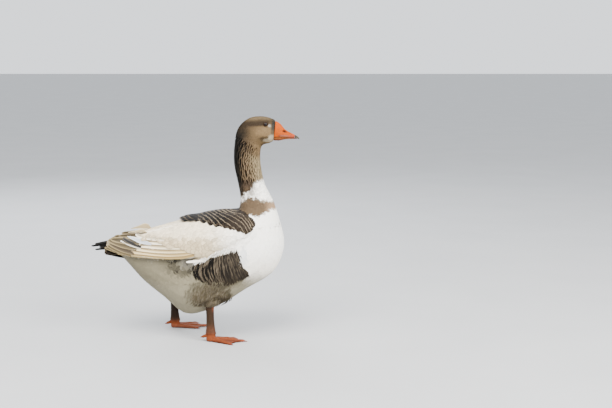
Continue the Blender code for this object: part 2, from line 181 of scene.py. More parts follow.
steps = np.linalg.norm(np.diff(line, axis=0), axis=1)
line_s = np.concatenate([[0], np.cumsum(steps)])
line_dir = np.gradient(line, axis=0)
line_dir /= np.linalg.norm(line_dir, axis=1)[:, None]
PLACE = {name: float(line_s[np.argmin(np.hypot(line[:, 0] - x, line[:, 2] - z))])
         for name, (x, z) in BODY_LINE.items()}


def unit(vectors):
    return vectors / np.maximum(np.linalg.norm(vectors, axis=-1, keepdims=True), 1e-12)


def smooth(low, high, value):
    """0 below low, 1 above high, with an even curve between."""
    t = np.clip((value - low) / (high - low), 0, 1)
    return t * t * (3 - 2 * t)


LINE_REACH = 0.045  # how far along the line a point listens for its direction
BATCH = 20000  # points taken at once, to spare memory


def body_frame(points):
    """Per point: the way the feathers lie, the distance along the body and the turn from back to belly."""
    s, turn, lie = np.empty(len(points)), np.empty(len(points)), np.empty((len(points), 3))
    for start in range(0, len(points), BATCH):
        batch = slice(start, start + BATCH)
        part = points[batch]
        gap = np.linalg.norm(part[:, None, :] - line[None], axis=2)
        weight = np.exp(-(gap**2 - gap.min(1, keepdims=True)**2) / (2 * LINE_REACH**2))
        weight /= weight.sum(1, keepdims=True)
        way = unit(weight @ line_dir)
        middle = weight @ line
        out = part - middle
        back = np.stack([way[:, 2], np.zeros(len(part)), -way[:, 0]], 1)
        s[batch] = weight @ line_s
        turn[batch] = np.arctan2(part[:, 1], (out * back).sum(1))
        lie[batch] = way
    return lie, s, turn


print("body line:", round(float(line_s[-1]), 3), "m long")

# %% [markdown]
# ## One skin under all the plumage
# The head, neck, trunk, thighs, wings and tail are separate solids. A copy of them is swollen until they
# overlap, wrapped in one even mesh by a voxel remesh, smoothed, and then drawn in by the depth of the
# feathers.

# %% Copies of solids as one mesh
FLESH = ["head", "neck_upper", "neck_lower", "trunk", "thigh_left", "thigh_right", "wing_left",
         "wing_right", "tail"]


def merged_copy(names, swell=0.0):
    """One mesh with copies of solids, their loose triangles joined, each swollen by a hair."""
    form = bmesh.new()
    for name in names:
        part = bmesh.new()
        part.from_mesh(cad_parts[name].data)
        bmesh.ops.remove_doubles(part, verts=part.verts, dist=0.01 * MM)
        part.normal_update()
        for vert in part.verts:
            vert.co += vert.normal * swell
        mesh = mesh_from(part)
        form.from_mesh(mesh)
        bpy.data.meshes.remove(mesh)
    return mesh_from(form)


def remeshed(mesh, voxel, rounds):
    """The mesh wrapped at an even spacing and smoothed."""
    thing = bpy.data.objects.new("wrap", mesh)
    bpy.context.scene.collection.objects.link(thing)
    wrap = thing.modifiers.new("wrap", "REMESH")
    wrap.mode = "VOXEL"
    wrap.voxel_size = voxel
    ease = thing.modifiers.new("ease", "SMOOTH")
    ease.iterations = rounds
    bpy.context.view_layer.update()
    made = bpy.data.meshes.new_from_object(thing.evaluated_get(bpy.context.evaluated_depsgraph_get()))
    bpy.data.objects.remove(thing)
    return made


def read_verts(mesh):
    co, normal = np.empty(len(mesh.vertices) * 3), np.empty(len(mesh.vertices) * 3)
    mesh.vertices.foreach_get("co", co)
    mesh.vertices.foreach_get("normal", normal)
    return co.reshape(-1, 3), normal.reshape(-1, 3)


outer_mesh = remeshed(merged_copy(FLESH, 0.5 * MM), 2.75 * MM, 6)
outer_co, outer_normal = read_verts(outer_mesh)
print("outer form:", len(outer_co), "points")

# %% Depth of the plumage
def coat_depth(points, s):
    """Room for feathers: little on the face, much on breast and belly, little at wing and tail tips."""
    marks = [0] + [PLACE[name] for name in ("eye", "neck_top", "neck_low", "crop", "breast")]
    depth = np.interp(s, marks, [0.6, 1.0, 2.0, 2.3, 2.5, 2.6])
    return depth * (1 - 0.45 * smooth(-0.13, -0.23, points[:, 0])) * MM


_, outer_s, outer_turn = body_frame(outer_co)
skin_co = outer_co - outer_normal * coat_depth(outer_co, outer_s)[:, None]
skin_mesh = outer_mesh.copy()
skin_mesh.name = "skin"
skin_mesh.vertices.foreach_set("co", skin_co.ravel())
skin_mesh.update()
skin_co, skin_normal = read_verts(skin_mesh)


def tree_of(mesh):
    form = bmesh.new()
    form.from_mesh(mesh)
    tree = BVHTree.FromBMesh(form)
    form.free()
    return tree


skin_tree = tree_of(skin_mesh)
print("skin:", len(skin_mesh.polygons), "faces")

# %% [markdown]
# ## Markings
# A pied goose is white with a brown head and neck, a grey-brown saddle across the shoulders and a patch of
# the same colour on each flank. Every marking is a soft-edged region in the side view of the bird, so the
# skin and each feather can ask the same function for the colour at their place.

# %% Regions seen from the side
REGIONS = {
    "ring": [(0.128, 0.393), (0.141, 0.402), (0.149, 0.414), (0.162, 0.419), (0.172, 0.430), (0.175, 0.446),
             (0.200, 0.454), (0.232, 0.430), (0.262, 0.372), (0.228, 0.384), (0.200, 0.394), (0.178, 0.400),
             (0.158, 0.404), (0.148, 0.390), (0.128, 0.388)],
    "collar": [(0.105, 0.386), (0.136, 0.388), (0.146, 0.391), (0.159, 0.403), (0.178, 0.398),
               (0.198, 0.392), (0.222, 0.387), (0.262, 0.378), (0.262, 0.362), (0.222, 0.369),
               (0.200, 0.359), (0.181, 0.350), (0.164, 0.355), (0.148, 0.358), (0.128, 0.362),
               (0.105, 0.368)],
    "saddle": [(-0.064, 0.324), (-0.049, 0.328), (-0.026, 0.3304), (-0.006, 0.3335), (0.017, 0.338),
               (0.038, 0.335), (0.058, 0.333), (0.069, 0.3295), (0.089, 0.328), (0.102, 0.3235),
               (0.125, 0.3185), (0.136, 0.3135), (0.148, 0.3110), (0.163, 0.3140), (0.172, 0.3240),
               (0.176, 0.335), (0.169, 0.347), (0.157, 0.357), (0.136, 0.366), (0.100, 0.420),
               (-0.064, 0.420)],
    "flank": [(0.007, 0.2312), (0.026, 0.2344), (0.040, 0.2401), (0.054, 0.2458), (0.068, 0.2541),
              (0.087, 0.2622), (0.104, 0.2674), (0.1265, 0.2700), (0.131, 0.2582), (0.136, 0.2384),
              (0.141, 0.2177), (0.152, 0.2047), (0.163, 0.1877), (0.154, 0.1810), (0.134, 0.1716),
              (0.107, 0.1623), (0.085, 0.1612), (0.058, 0.1660), (0.036, 0.1722), (0.020, 0.1811),
              (0.009, 0.1921), (0.004, 0.2117)],
}
print("regions:", ", ".join(REGIONS))

# %% Colours of the plumage
PLUMAGE = {
    "white": rgb("F4F1EA"), "cream": rgb("E6D7BC"), "soiled": rgb("766F5B"), "mud": rgb("3D3326"),
    "crown": rgb("382D20"), "crown_top_highlight": rgb("6E5E47"), "cheek": rgb("66533A"), "stripe": rgb("2D2318"),
    "hindneck": rgb("17130D"), "neck": rgb("544532"), "neck_front": rgb("817256"),
    "cheek_light": rgb("735E42"), "grey": rgb("221F1A"), "throat": rgb("32281A"), "chin": rgb("A69A84"),
    "slate": rgb("20282B"), "patch": rgb("382C20"), "collar": rgb("524332"), "collar_front": rgb("92785E"),
    "saddle": rgb("17130F"), "flank": rgb("1D1915"), "fringe": rgb("7D705E"), "tail": rgb("201B16"),
    "tan": rgb("6E6048"), "shade": rgb("AEB6BE"), "soiled_lit_from_below": rgb("88816C"),
}
print("colours:", len(PLUMAGE))

# %% Soft-edged shapes and layers of colour
def edge_distance(points, name):
    """Metres inside (positive) or outside (negative) a region's outline, in the side view."""
    outline = np.array(REGIONS[name])
    place = points[:, [0, 2]]
    nearest = np.full(len(place), 9.0)
    inside = np.zeros(len(place), bool)
    for a, b in zip(outline, np.roll(outline, -1, 0)):
        along = b - a
        share = np.clip(((place - a) @ along) / (along @ along), 0, 1)
        nearest = np.minimum(nearest, np.linalg.norm(place - a - share[:, None] * along, axis=1))
        crosses = (a[1] > place[:, 1]) != (b[1] > place[:, 1])
        with np.errstate(divide="ignore", invalid="ignore"):
            at = a[0] + (place[:, 1] - a[1]) * along[0] / along[1]
        inside ^= crosses & (place[:, 0] < at)
    return np.where(inside, nearest, -nearest)


def blob(points, centre, radii):
    """1 in the middle of an oval spot in the side view, 0 at its rim and beyond."""
    gap = np.hypot((points[:, 0] - centre[0]) / radii[0], (points[:, 2] - centre[1]) / radii[1])
    return 1 - smooth(0.55, 1.25, gap)


def ruffle(points, size, scale):
    """A smooth irregular shift, in metres, that keeps borders between colours from being ruled lines."""
    a, b, c = (points * scale).T
    return size * (np.sin(a * 1.0 + 2.1 * np.sin(c * 0.7)) * 0.5
                   + np.sin(c * 1.9 + 1.3 * np.sin(a * 1.4 + b)) * 0.5)


def blend(base, colour, share):
    return base * (1 - share[:, None]) + PLUMAGE[colour] * share[:, None]


def layered(base, *layers):
    """The base colours with layers of (colour, share) blended over them, one after another."""
    for colour, share in layers:
        base = blend(base, colour, share)
    return base


print("painting tools ready")

# %% One function for all the colours
HIND_EDGE = np.array([(0.400, 0.134), (0.423, 0.140), (0.452, 0.139), (0.480, 0.136), (0.508, 0.136),
                      (0.536, 0.137), (0.565, 0.142), (0.579, 0.148), (0.593, 0.151), (0.602, 0.149),
                      (0.610, 0.143), (0.622, 0.120)])


def plumage(points, s, turn, rows=True):
    """The colour of the plumage at each point, without the pattern inside single feathers."""
    x, z = points[:, 0], points[:, 2]
    round_back = np.degrees(np.abs(turn))
    fine = ruffle(points, 0.0022, 420.0)
    frayed = points + fine[:, None]
    hind = x - np.interp(z, *HIND_EDGE.T) - fine * 1.5

    def spot_at(centre, radii, strength, places=points):
        return blob(places, centre, radii) * strength

    dirt = 0.262 - 0.28 * np.clip(x, -0.05, 0.2) + ruffle(points, 0.012, 60.0)
    blotch = 0.75 + 0.25 * np.clip(ruffle(points, 1.6, 130.0), -1, 1)
    base = layered(
        np.tile(PLUMAGE["white"], (len(points), 1)),
        ("cream", smooth(0.16, 0.02, x) * smooth(0.20, 0.26, z)),
        ("tan", smooth(-0.150, -0.180, x) * smooth(0.246, 0.250, z) * 0.8),
        ("cream", smooth(0.262, 0.205, z) * smooth(0.10, 0.15, x) * 0.30),
        ("soiled", smooth(dirt + 0.004, dirt - 0.050, z) * (1 - 0.58 * smooth(0.13, 0.20, x))),
        # the soiled belly painted lighter towards the bottom, as painted light that offsets the shade under
        # the belly
        ("soiled_lit_from_below", smooth(0.185, 0.150, z) * 0.7),
        ("shade", spot_at((0.146, 0.246), (0.014, 0.030), 0.45)),
        # painted shade under the wing, mixed with soiling and broken into patches
        ("grey", spot_at((-0.012, 0.224), (0.068, 0.034), 0.90) * blotch),
        ("mud", spot_at((0.058, 0.128), (0.052, 0.042), 0.65)),
        ("mud", spot_at((0.088, 0.167), (0.052, 0.015), 0.38)))
    if rows:  # only the skin under the fringed rows takes their dark colour
        base = layered(
            base,
            ("saddle", smooth(-0.001, 0.003, edge_distance(points, "saddle")) * (s > PLACE["crop"])),
            ("flank", smooth(-0.001, 0.003, edge_distance(points, "flank")) * (np.abs(points[:, 1]) > 0.05)))
    neck = layered(
        np.tile(PLUMAGE["neck"], (len(points), 1)),
        ("neck_front", smooth(0.150, 0.186, x + 0.20 * (z - 0.50)) * smooth(0.590, 0.560, z)),
        ("patch", smooth(0.462, 0.446, z + fine * 2) * smooth(108, 92, round_back)),
        ("hindneck", smooth(0.010, -0.008, hind)))
    on_neck = (smooth(PLACE["neck_base"] + 0.030, PLACE["neck_base"] + 0.022, s)
               * (edge_distance(points, "collar") < 0.004)
               * smooth(0.392, 0.400, z + 0.10 * (x - 0.13)))[:, None]
    collar = smooth(-0.004, 0.004, edge_distance(points, "collar") + fine)
    base = layered(
        base * (1 - on_neck) + neck * on_neck,
        ("white", smooth(-0.0060, 0.0055, edge_distance(points, "ring") + fine * 1.2)),
        ("collar", spot_at((0.176, 0.416), (0.016, 0.014), 0.22)),
        ("collar", spot_at((0.180, 0.436), (0.014, 0.020), 0.10)),
        ("collar", collar),
        ("collar_front", collar * smooth(0.196, 0.226, x)))
    slate_part = 0.55 + 0.45 * smooth(0.588, 0.596, z) * smooth(0.614, 0.608, z)
    head = layered(
        np.tile(PLUMAGE["cheek"], (len(points), 1)),
        ("cheek_light", spot_at((0.205, 0.586), (0.030, 0.014), 1.0)),
        ("crown", smooth(0.186, 0.148, x + fine) * 0.85),
        ("crown", smooth(0.6005, 0.6085, z - 0.10 * (x - 0.19) + fine * 0.5)),
        # the top of the crown painted lighter, as a painted highlight from above
        ("crown_top_highlight", smooth(0.6155, 0.6275, z + 0.08 * np.abs(x - 0.195))),
        ("hindneck", smooth(0.014, -0.010, hind) * (1 - 0.60 * smooth(0.575, 0.605, z))),
        ("stripe", spot_at((0.180, 0.6085), (0.036, 0.0062), 0.8)),
        ("stripe", spot_at((0.214, 0.6110), (0.009, 0.0036), 0.20)),
        ("stripe", spot_at((0.206, 0.6098), (0.0120, 0.0070), 0.8)),
        ("cheek", spot_at((0.2185, 0.6120), (0.0070, 0.0042), 0.30)),
        ("throat", spot_at((0.200, 0.5680), (0.015, 0.0065), 0.75, frayed)),
        ("chin", spot_at((0.2240, 0.5705), (0.0125, 0.0100), 0.92, frayed)),
        ("chin", spot_at((0.2130, 0.5635), (0.0160, 0.0060), 0.60)),
        ("slate", smooth(0.2190, 0.2220, x - 0.10 * (z - 0.59)) * smooth(0.574, 0.582, z) * 0.80
         * slate_part),
        ("white", spot_at((0.2164, 0.6040), (0.0038, 0.0046), 0.23)))
    on_head = smooth(PLACE["neck_top"] + 0.012, PLACE["neck_top"] - 0.012, s)[:, None]
    tail = smooth(-0.200, -0.210, x) * smooth(0.262, 0.256, z) * smooth(0.229, 0.234, z)
    return np.clip(blend(base, "tail", tail) * (1 - on_head) + head * on_head, 0, 1)


print("plumage at the breast:", plumage(np.array([[0.2, -0.05, 0.3]]), np.array([0.4]),
                                        np.array([2.0])).round(2))

# %% Markings on the skin
def colour_attribute(mesh, name, colours):
    values = np.ones((len(colours), 4), np.float32)
    values[:, :3] = colours
    layer = mesh.attributes.new(name, "FLOAT_COLOR", "POINT")
    layer.data.foreach_set("color", values.ravel())


def neck_ridges(points):
    """1 where the neck is combed into ridges, 0 where its feathers lie smooth."""
    x, z = points[:, 0], points[:, 2]
    plain = np.maximum(smooth(0.190, 0.200, x + 0.20 * (z - 0.50)), smooth(0.452, 0.436, z))
    plain = np.maximum(plain, smooth(0.566, 0.580, z + 0.12 * (x - 0.15)))
    return 1 - np.maximum(plain, (edge_distance(points, "ring") > 0) * 1.0)


under = plumage(skin_co, outer_s, outer_turn)
# In the neck's grooves the skin is painted nearly black, as painted shade between the ridges.
ridged = (neck_ridges(skin_co) * smooth(PLACE["neck_base"] + 0.02, PLACE["neck_base"], outer_s)
          * (skin_co[:, 2] > 0.43))
colour_attribute(skin_mesh, "plumage", under * (0.95 - 0.82 * ridged[:, None]))
print("markings set on the skin")

# %% Skin material and object
def finish_piece(name, mesh, material, slot, *nodes, sharp=50):
    """Links a finished piece, which rides on the only body and stands for the named solids."""
    mesh.name = name
    piece = bpy.data.objects.new(name, mesh)
    mesh.materials.clear()
    mesh.materials.append(material)
    mesh.shade_smooth()
    if sharp:
        mesh.set_sharp_from_angle(angle=math.radians(sharp))
    bpy.context.scene.collection.objects.link(piece)
    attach(piece, "root")
    if nodes:
        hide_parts(*nodes)
    return piece


# Down scatters light in all directions: nearly no gloss, and a soft unevenness of about two millimetres.
fluffy_down, tree, shader = new_material("down_over_skin", roughness=0.95, specular_ior_level=0.05)
colour = add_node(tree, "ShaderNodeAttribute", attribute_name="plumage").outputs["Color"]
coords = add_node(tree, "ShaderNodeTexCoord").outputs["Object"]
fluff = add_node(tree, "ShaderNodeTexNoise", {"Vector": coords, "Scale": 420.0, "Detail": 6.0})
shade = add_node(tree, "ShaderNodeMapRange", {"Value": fluff.outputs["Fac"], "To Min": 0.85, "To Max": 1.10})
mixed = add_node(tree, "ShaderNodeMix", {"Factor": 1.0, 6: colour, 7: shade.outputs["Result"]},
                 data_type="RGBA", blend_type="MULTIPLY")
bump = add_node(tree, "ShaderNodeBump",
                {"Height": fluff.outputs["Fac"], "Distance": 0.8 * MM, "Strength": 0.5})
tree.links.new(mixed.outputs[2], shader.inputs["Base Color"])
tree.links.new(bump.outputs["Normal"], shader.inputs["Normal"])
finish_piece("skin", skin_mesh, fluffy_down, "white_plumage", *FLESH, sharp=0)
print("skin dressed")

# %% [markdown]
# ## One feather as a template
# A feather is a thin, slightly arched blade with a rounded tip. It starts as two grids in their own
# coordinates, across from -1 to 1 and along from 0 at the root to 1 at the tip. Merging their rims closes
# them into a leaf with an upper and a lower face. Thousands of copies are laid out at once as arrays and
# joined, one mesh to a tract.

# %% Templates
def feather_template(columns, rows_along):
    """A closed blade: its coordinates (across, along, and +1 above or -1 below) and its triangles."""
    form = bmesh.new()
    for level in (1, -1):
        made = bmesh.ops.create_grid(form, x_segments=columns, y_segments=rows_along, size=1)["verts"]
        for vert in made:
            vert.co.z = level if max(abs(vert.co.x), abs(vert.co.y)) < 0.999 else 0
        if level < 0:
            bmesh.ops.reverse_faces(form, faces=list({f for v in made for f in v.link_faces}))
    bmesh.ops.remove_doubles(form, verts=form.verts, dist=1e-4)
    bmesh.ops.triangulate(form, faces=form.faces)
    verts = np.array([v.co for v in form.verts])
    verts[:, 1] = verts[:, 1] / 2 + 0.5
    triangles = np.array([[v.index for v in f.verts] for f in form.faces])
    form.free()
    return verts, triangles


TINY, SMALL, BROAD, LONG = (feather_template(*grid) for grid in ((2, 3), (4, 3), (6, 5), (6, 16)))
SMALL[0][:, 0] = np.sign(SMALL[0][:, 0]) * np.abs(SMALL[0][:, 0]) ** 0.7  # columns closer at the rim
print("triangles in the templates:", [len(t[1]) for t in (TINY, SMALL, BROAD, LONG)])

# %% Outline of a blade, and many blades as one mesh
def blade_shape(template, root_width=0.45, tip_round=0.35, taper=0.0, square=2.0):
    """Outline of a blade: how wide and how long it is at each template point, both as shares."""
    across, along = template[0][:, 0], template[0][:, 1]
    width = (root_width + (1 - root_width) * smooth(0, 0.55, along)) * (1 - taper * along**2)
    reach = along - tip_round * along**2 * (1 - (1 - 0.985 * np.abs(across) ** square) ** 0.5)
    return width, reach


def joined(name, corner_points, faces, attributes, uv):
    """One mesh from arrays: points (feathers, corners, 3), the template's faces, and per-corner values."""
    count, corners = corner_points.shape[:2]
    local = corner_points - corner_points.mean(1, keepdims=True)
    a, b, c = (local[:, faces[:, i]] for i in range(3))
    inside_out = (a * np.cross(b, c)).sum((1, 2)) < 0  # a closed shape with a negative volume is turned round
    all_faces = np.where(inside_out[:, None, None], faces[None, :, ::-1], faces[None])
    all_faces = (all_faces + (np.arange(count) * corners)[:, None, None]).reshape(-1, faces.shape[1])
    mesh = bpy.data.meshes.new(name)
    mesh.vertices.add(count * corners)
    mesh.vertices.foreach_set("co", corner_points.astype(np.float32).ravel())
    mesh.loops.add(all_faces.size)
    mesh.loops.foreach_set("vertex_index", all_faces.astype(np.int32).ravel())
    mesh.polygons.add(len(all_faces))
    mesh.polygons.foreach_set("loop_start", np.arange(0, all_faces.size, faces.shape[1], dtype=np.int32))
    mesh.update(calc_edges=True)
    for key, values in attributes.items():
        values = np.broadcast_to(values, (count, corners, values.shape[-1])).reshape(count * corners, -1)
        if values.shape[1] == 3 and key != "vane":
            values = np.concatenate([values, np.ones((len(values), 1))], 1)
        kind, field = ("FLOAT_VECTOR", "vector") if key == "vane" else ("FLOAT_COLOR", "color")
        layer = mesh.attributes.new(key, kind, "POINT")
        layer.data.foreach_set(field, values.astype(np.float32).ravel())
    layer = mesh.uv_layers.new(name="OFBake")
    layer.data.foreach_set("uv", uv.reshape(-1, 2)[all_faces.ravel()].astype(np.float32).ravel())
    return mesh


print("blade tools ready")

# %% [markdown]
# ## Laying feathers on a surface
# Each feather gets a root, a direction and a size. Its points are spread over the tangent plane at the root
# and then dropped on the skin, so that a long feather bends round the body. Height grows from root to tip,
# which makes every feather lie on the roots of those behind it, like shingles.

# %% Feathers dropped on the skin
def lay(template, roots, normals, ways, length, width, lift, arch, shape, sink, rise):
    """Points of all feathers, (feathers, corners, 3); length, width and lift are in metres, one for each."""
    across, along, layer = template[0].T
    wide, reach = shape
    side = unit(np.cross(normals, ways))
    flat = (roots[:, None] + ways[:, None] * (reach[None] * length[:, None])[..., None]
            + side[:, None] * ((across * wide)[None] * width[:, None] / 2)[..., None])
    height = (sink + lift[:, None] * along**rise + arch * (1 - across**2) * (0.3 + 0.7 * along)
              + layer * 0.06 * MM)
    made = np.empty_like(flat)
    for i, blade in enumerate(flat):
        for j, point in enumerate(blade):
            found, normal = skin_tree.find_nearest(point)[:2]
            made[i, j] = found + normal * height[i, j]
    return made


print("laying tool ready")

# %% Places in the map
PATCH = 0.003  # of the map's width


def skin_uv(s, turn):
    """The skin unrolled: round the body across the map, from bill to tail up the map."""
    return np.stack([0.03 + 0.94 * (turn / (2 * math.pi) + 0.5), 0.03 + 0.94 * s / line_s[-1]], 1)


def patch_uv(template, s, turn):
    """A small patch for each feather, at its root's place on the unrolled skin."""
    return skin_uv(s, turn)[:, None] + (template[0][None, :, :2] * [0.5, 1.0] - [0, 0.5]) * PATCH


def cell_uv(template, count):
    """A cell of its own for each feather, where its inner pattern has to be kept."""
    side = math.ceil(math.sqrt(count))
    index = np.arange(count)
    corner = np.stack([index % side, index // side], 1)[:, None] / side
    return corner + (template[0][None, :, :2] * [0.45, 0.9] + [0.5, 0.05]) / side


print("patches:", PATCH, "of the map's width")

# %% Roots spread over the skin
def spread(points, spacing):
    """Thins out random candidates until no two are closer than the spacing wanted there."""
    finder = KDTree(len(points))
    for i, co in enumerate(points):
        finder.insert(co, i)
    finder.balance()
    alive = np.ones(len(points), bool)
    kept = []
    for i in range(len(points)):
        if alive[i]:
            kept.append(i)
            for _, j, _ in finder.find_range(points[i], spacing[i]):
                alive[j] = False
    return np.array(kept)


faces = np.array([p.vertices[:] for p in skin_mesh.polygons])
quads = skin_co[faces]
area = (np.linalg.norm(np.cross(quads[:, 1] - quads[:, 0], quads[:, 2] - quads[:, 0]), axis=1)
        + np.linalg.norm(np.cross(quads[:, 2] - quads[:, 0], quads[:, 3] - quads[:, 0]), axis=1)) / 2
print("skin area:", round(float(area.sum()), 3), "square metres")


def candidates(spacing_of, keep):
    """Random places on the skin, dense enough to be thinned, with their body coordinates."""
    centre = quads.mean(1)
    s, turn = outer_s[faces[:, 0]], outer_turn[faces[:, 0]]
    want = area / spacing_of(centre, s)**2 * 7 * keep(centre, s, turn)
    count = rng.poisson(want)
    owner = np.repeat(np.arange(len(faces)), count)
    a, b = rng.random((2, len(owner), 1))
    quad = quads[owner]
    places = (quad[:, 0] * (1 - a) + quad[:, 1] * a) * (1 - b) + (quad[:, 3] * (1 - a) + quad[:, 2] * a) * b
    order = rng.permutation(len(places))
    return places[order], owner[order]


print("scattering tools ready")

# %% [markdown]
# ## What one feather looks like
# A vane is made of fine parallel barbs that leave the shaft at a slant, and in many geese its tip carries a
# paler fringe. The colour comes from the plumage attribute, the fringe colour from a second one, and the
# vane attribute tells the shader where on the feather it is. Feather keratin is matt, with a faint silky
# sheen.

# %% Vane material
def vane_material(name, fringe_from, fringe_to, barbs=0.10, shaft=0.0, edge=0.0, roughness=0.72, gloss=0.10):
    """Barred vane: fringe between two shares of the length, slanting barbs, and a shaft line."""
    made, tree, shader = new_material(name, roughness=roughness, ior=1.54, specular_ior_level=gloss)
    base = add_node(tree, "ShaderNodeAttribute", attribute_name="plumage").outputs["Color"]
    pale = add_node(tree, "ShaderNodeAttribute", attribute_name="fringe").outputs["Color"]
    vane = add_node(tree, "ShaderNodeAttribute", attribute_name="vane").outputs["Vector"]
    split = add_node(tree, "ShaderNodeSeparateXYZ", {"Vector": vane})
    across = add_node(tree, "ShaderNodeMath", {0: split.outputs["X"]}, operation="ABSOLUTE").outputs[0]
    corner = add_node(tree, "ShaderNodeMath", {0: across, 1: 4.0}, operation="POWER").outputs[0]
    reach = add_node(tree, "ShaderNodeMath", {0: corner, 1: edge, 2: split.outputs["Y"]},
                     operation="MULTIPLY_ADD").outputs[0]
    coords = add_node(tree, "ShaderNodeTexCoord").outputs["Object"]
    fray = add_node(tree, "ShaderNodeTexNoise",
                    {"Vector": coords, "Scale": 700.0, "Detail": 2.0}).outputs["Fac"]
    ragged = add_node(tree, "ShaderNodeMath", {0: fray, 1: 0.16, 2: reach},
                      operation="MULTIPLY_ADD").outputs[0]
    mask = add_node(tree, "ShaderNodeMapRange",
                    {"Value": ragged, "From Min": fringe_from + 0.08, "From Max": fringe_to + 0.08},
                    interpolation_type="SMOOTHSTEP")
    slant = add_node(tree, "ShaderNodeMath", {0: across, 1: 0.35, 2: split.outputs["Y"]},
                     operation="MULTIPLY_ADD")
    ripple = add_node(tree, "ShaderNodeMath", {0: slant.outputs[0], 1: 105.0}, operation="MULTIPLY")
    ripple = add_node(tree, "ShaderNodeMath", {0: ripple.outputs[0]}, operation="SINE").outputs[0]
    barb = add_node(tree, "ShaderNodeMapRange", {"Value": ripple, "From Min": -1.0, "To Min": 1 - barbs,
                                                 "To Max": 1.0}).outputs["Result"]
    middle = add_node(tree, "ShaderNodeMapRange", {"Value": across, "From Min": 0.04, "From Max": 0.09,
                                                   "To Min": 1 - shaft, "To Max": 1.0}).outputs["Result"]
    grain = add_node(tree, "ShaderNodeMath", {0: barb, 1: middle}, operation="MULTIPLY").outputs[0]
    tinted = add_node(tree, "ShaderNodeMix", {"Factor": mask.outputs["Result"], 6: base, 7: pale},
                      data_type="RGBA")
    final = add_node(tree, "ShaderNodeMix", {"Factor": 1.0, 6: tinted.outputs[2], 7: grain}, data_type="RGBA",
                     blend_type="MULTIPLY")
    bump = add_node(tree, "ShaderNodeBump", {"Height": grain, "Distance": 0.4 * MM, "Strength": 0.25})
    tree.links.new(final.outputs[2], shader.inputs["Base Color"])
    tree.links.new(bump.outputs["Normal"], shader.inputs["Normal"])
    return made


soft_vane = vane_material("contour_feather_keratin", 0.80, 1.0)
barred_vane = vane_material("fringed_feather_keratin", 0.930, 0.962, barbs=0.16, gloss=0.05)
quill_vane = vane_material("flight_feather_keratin", 0.93, 0.99, barbs=0.10, shaft=0.25, edge=0.9,
                           roughness=0.6)
print("vane materials ready")

# %% [markdown]
# ## Lie of the feathers
# The body line gives the direction nearly everywhere. On the thighs the feathers turn down the leg, and on
# the folded wing they run straight back to the wing tip.

# %% Lie, and what belongs to a wing
def solid_tree(*names):
    mesh = merged_copy(names)
    tree = tree_of(mesh)
    bpy.data.meshes.remove(mesh)
    return tree


wing_trees = {1: solid_tree("wing_left"), -1: solid_tree("wing_right")}
thigh_axis = [np.mean(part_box(name), axis=0) for name in ("thigh_left", "thigh_right")]


def on_wing(points, reach):
    """1 where the plumage surface is that of a folded wing."""
    flags = np.zeros(len(points))
    for i, p in enumerate(points):
        tree = wing_trees[1 if p[1] > 0 else -1]
        flags[i] = tree.find_nearest(p, reach)[0] is not None
    return flags


def wing_share(points):
    """How far a point is inside the side view of the wing, from 0 at the rim to 1 well inside."""
    low = np.interp(points[:, 0], [-0.250, -0.200, -0.090, -0.020, 0.040, 0.100, 0.152, 0.176],
                    [0.262, 0.243, 0.239, 0.240, 0.250, 0.271, 0.298, 0.320])
    high = np.interp(points[:, 0], [-0.250, -0.200, -0.150, -0.090, -0.020, 0.040, 0.100, 0.176],
                     [0.277, 0.291, 0.301, 0.316, 0.337, 0.352, 0.357, 0.345])
    return smooth(0, 0.006, np.minimum(points[:, 2] - low, high - points[:, 2]))


print("wings and thighs found")

# %% Lie and scatter on the surface
def along_surface(ways, normals, share=1.0):
    """The same ways, laid down into the surface."""
    return unit(ways - normals * (ways * normals).sum(1, keepdims=True) * share)


def surface_frame(points, normals):
    """Lie in the surface, distance along the body and turn, with the legs' and the wings' own lie."""
    ways, s, turn = body_frame(points)
    for axis in thigh_axis:
        gap = np.hypot(points[:, 0] - axis[0], (points[:, 1] - axis[1]) * 0.8)
        share = (smooth(0.060, 0.026, gap) * smooth(0.185, 0.140, points[:, 2]))[:, None]
        ways = unit(ways * (1 - share) + np.array([-0.25, 0, -1.0]) * share)
    share = (wing_share(points) * (np.abs(points[:, 1]) > 0.012))[:, None] * 0.85
    ways = unit(ways * (1 - share) + np.array([-1.0, 0, -0.10]) * share)
    return along_surface(ways, normals), s, turn


def scatter(spacing_of, keep):
    """Roots, normals, lie, distance along and turn for feathers scattered over part of the skin."""
    places, owner = candidates(spacing_of, keep)
    kept = spread(places, spacing_of(places, outer_s[faces[owner, 0]]))
    places, owner = places[kept], owner[kept]
    normals = unit(skin_normal[faces[owner]].mean(1))
    return (places, normals) + surface_frame(places, normals)


print("lie ready")

# %% One tract of feathers
def vane_values(template, count):
    values = np.empty((count, len(template[0]), 3))
    values[..., 0], values[..., 1] = template[0][:, 0], template[0][:, 1]
    values[..., 2] = rng.random(count)[:, None]
    return values


def tint(colours, strength):
    """The same colours, each a little lighter or darker, as single feathers differ."""
    return np.clip(colours * (1 + rng.normal(0, strength, (len(colours), 1))), 0, 1)


def coat(name, slot, material, template, found, length, width, lift, shape, colours, fringe, arch=0.3,
         wild=0.12, sink=0.1, uv=None, scatter_size=0.08, rise=0.8):
    """Makes one tract of feathers from its roots and sizes, and finishes it as a piece."""
    roots, normals, ways, s, turn = found
    ways = unit(ways + np.cross(normals, ways) * rng.normal(0, wild, (len(roots), 1)))
    size = 1 + rng.normal(0, scatter_size, len(roots))
    points = lay(template, roots, normals, ways, length * size, width * size, lift, arch * MM, shape,
                 sink * MM, rise)
    count = len(roots)
    mesh = joined(name, points, template[1], {
        "plumage": colours.reshape(count, -1, 3), "fringe": fringe.reshape(count, -1, 3),
        "vane": vane_values(template, count)},
        patch_uv(template, s, turn) if uv is None else uv)
    finish_piece(name, mesh, material, slot)
    print(f"{name}: {count} feathers, {count * len(template[1])} triangles")


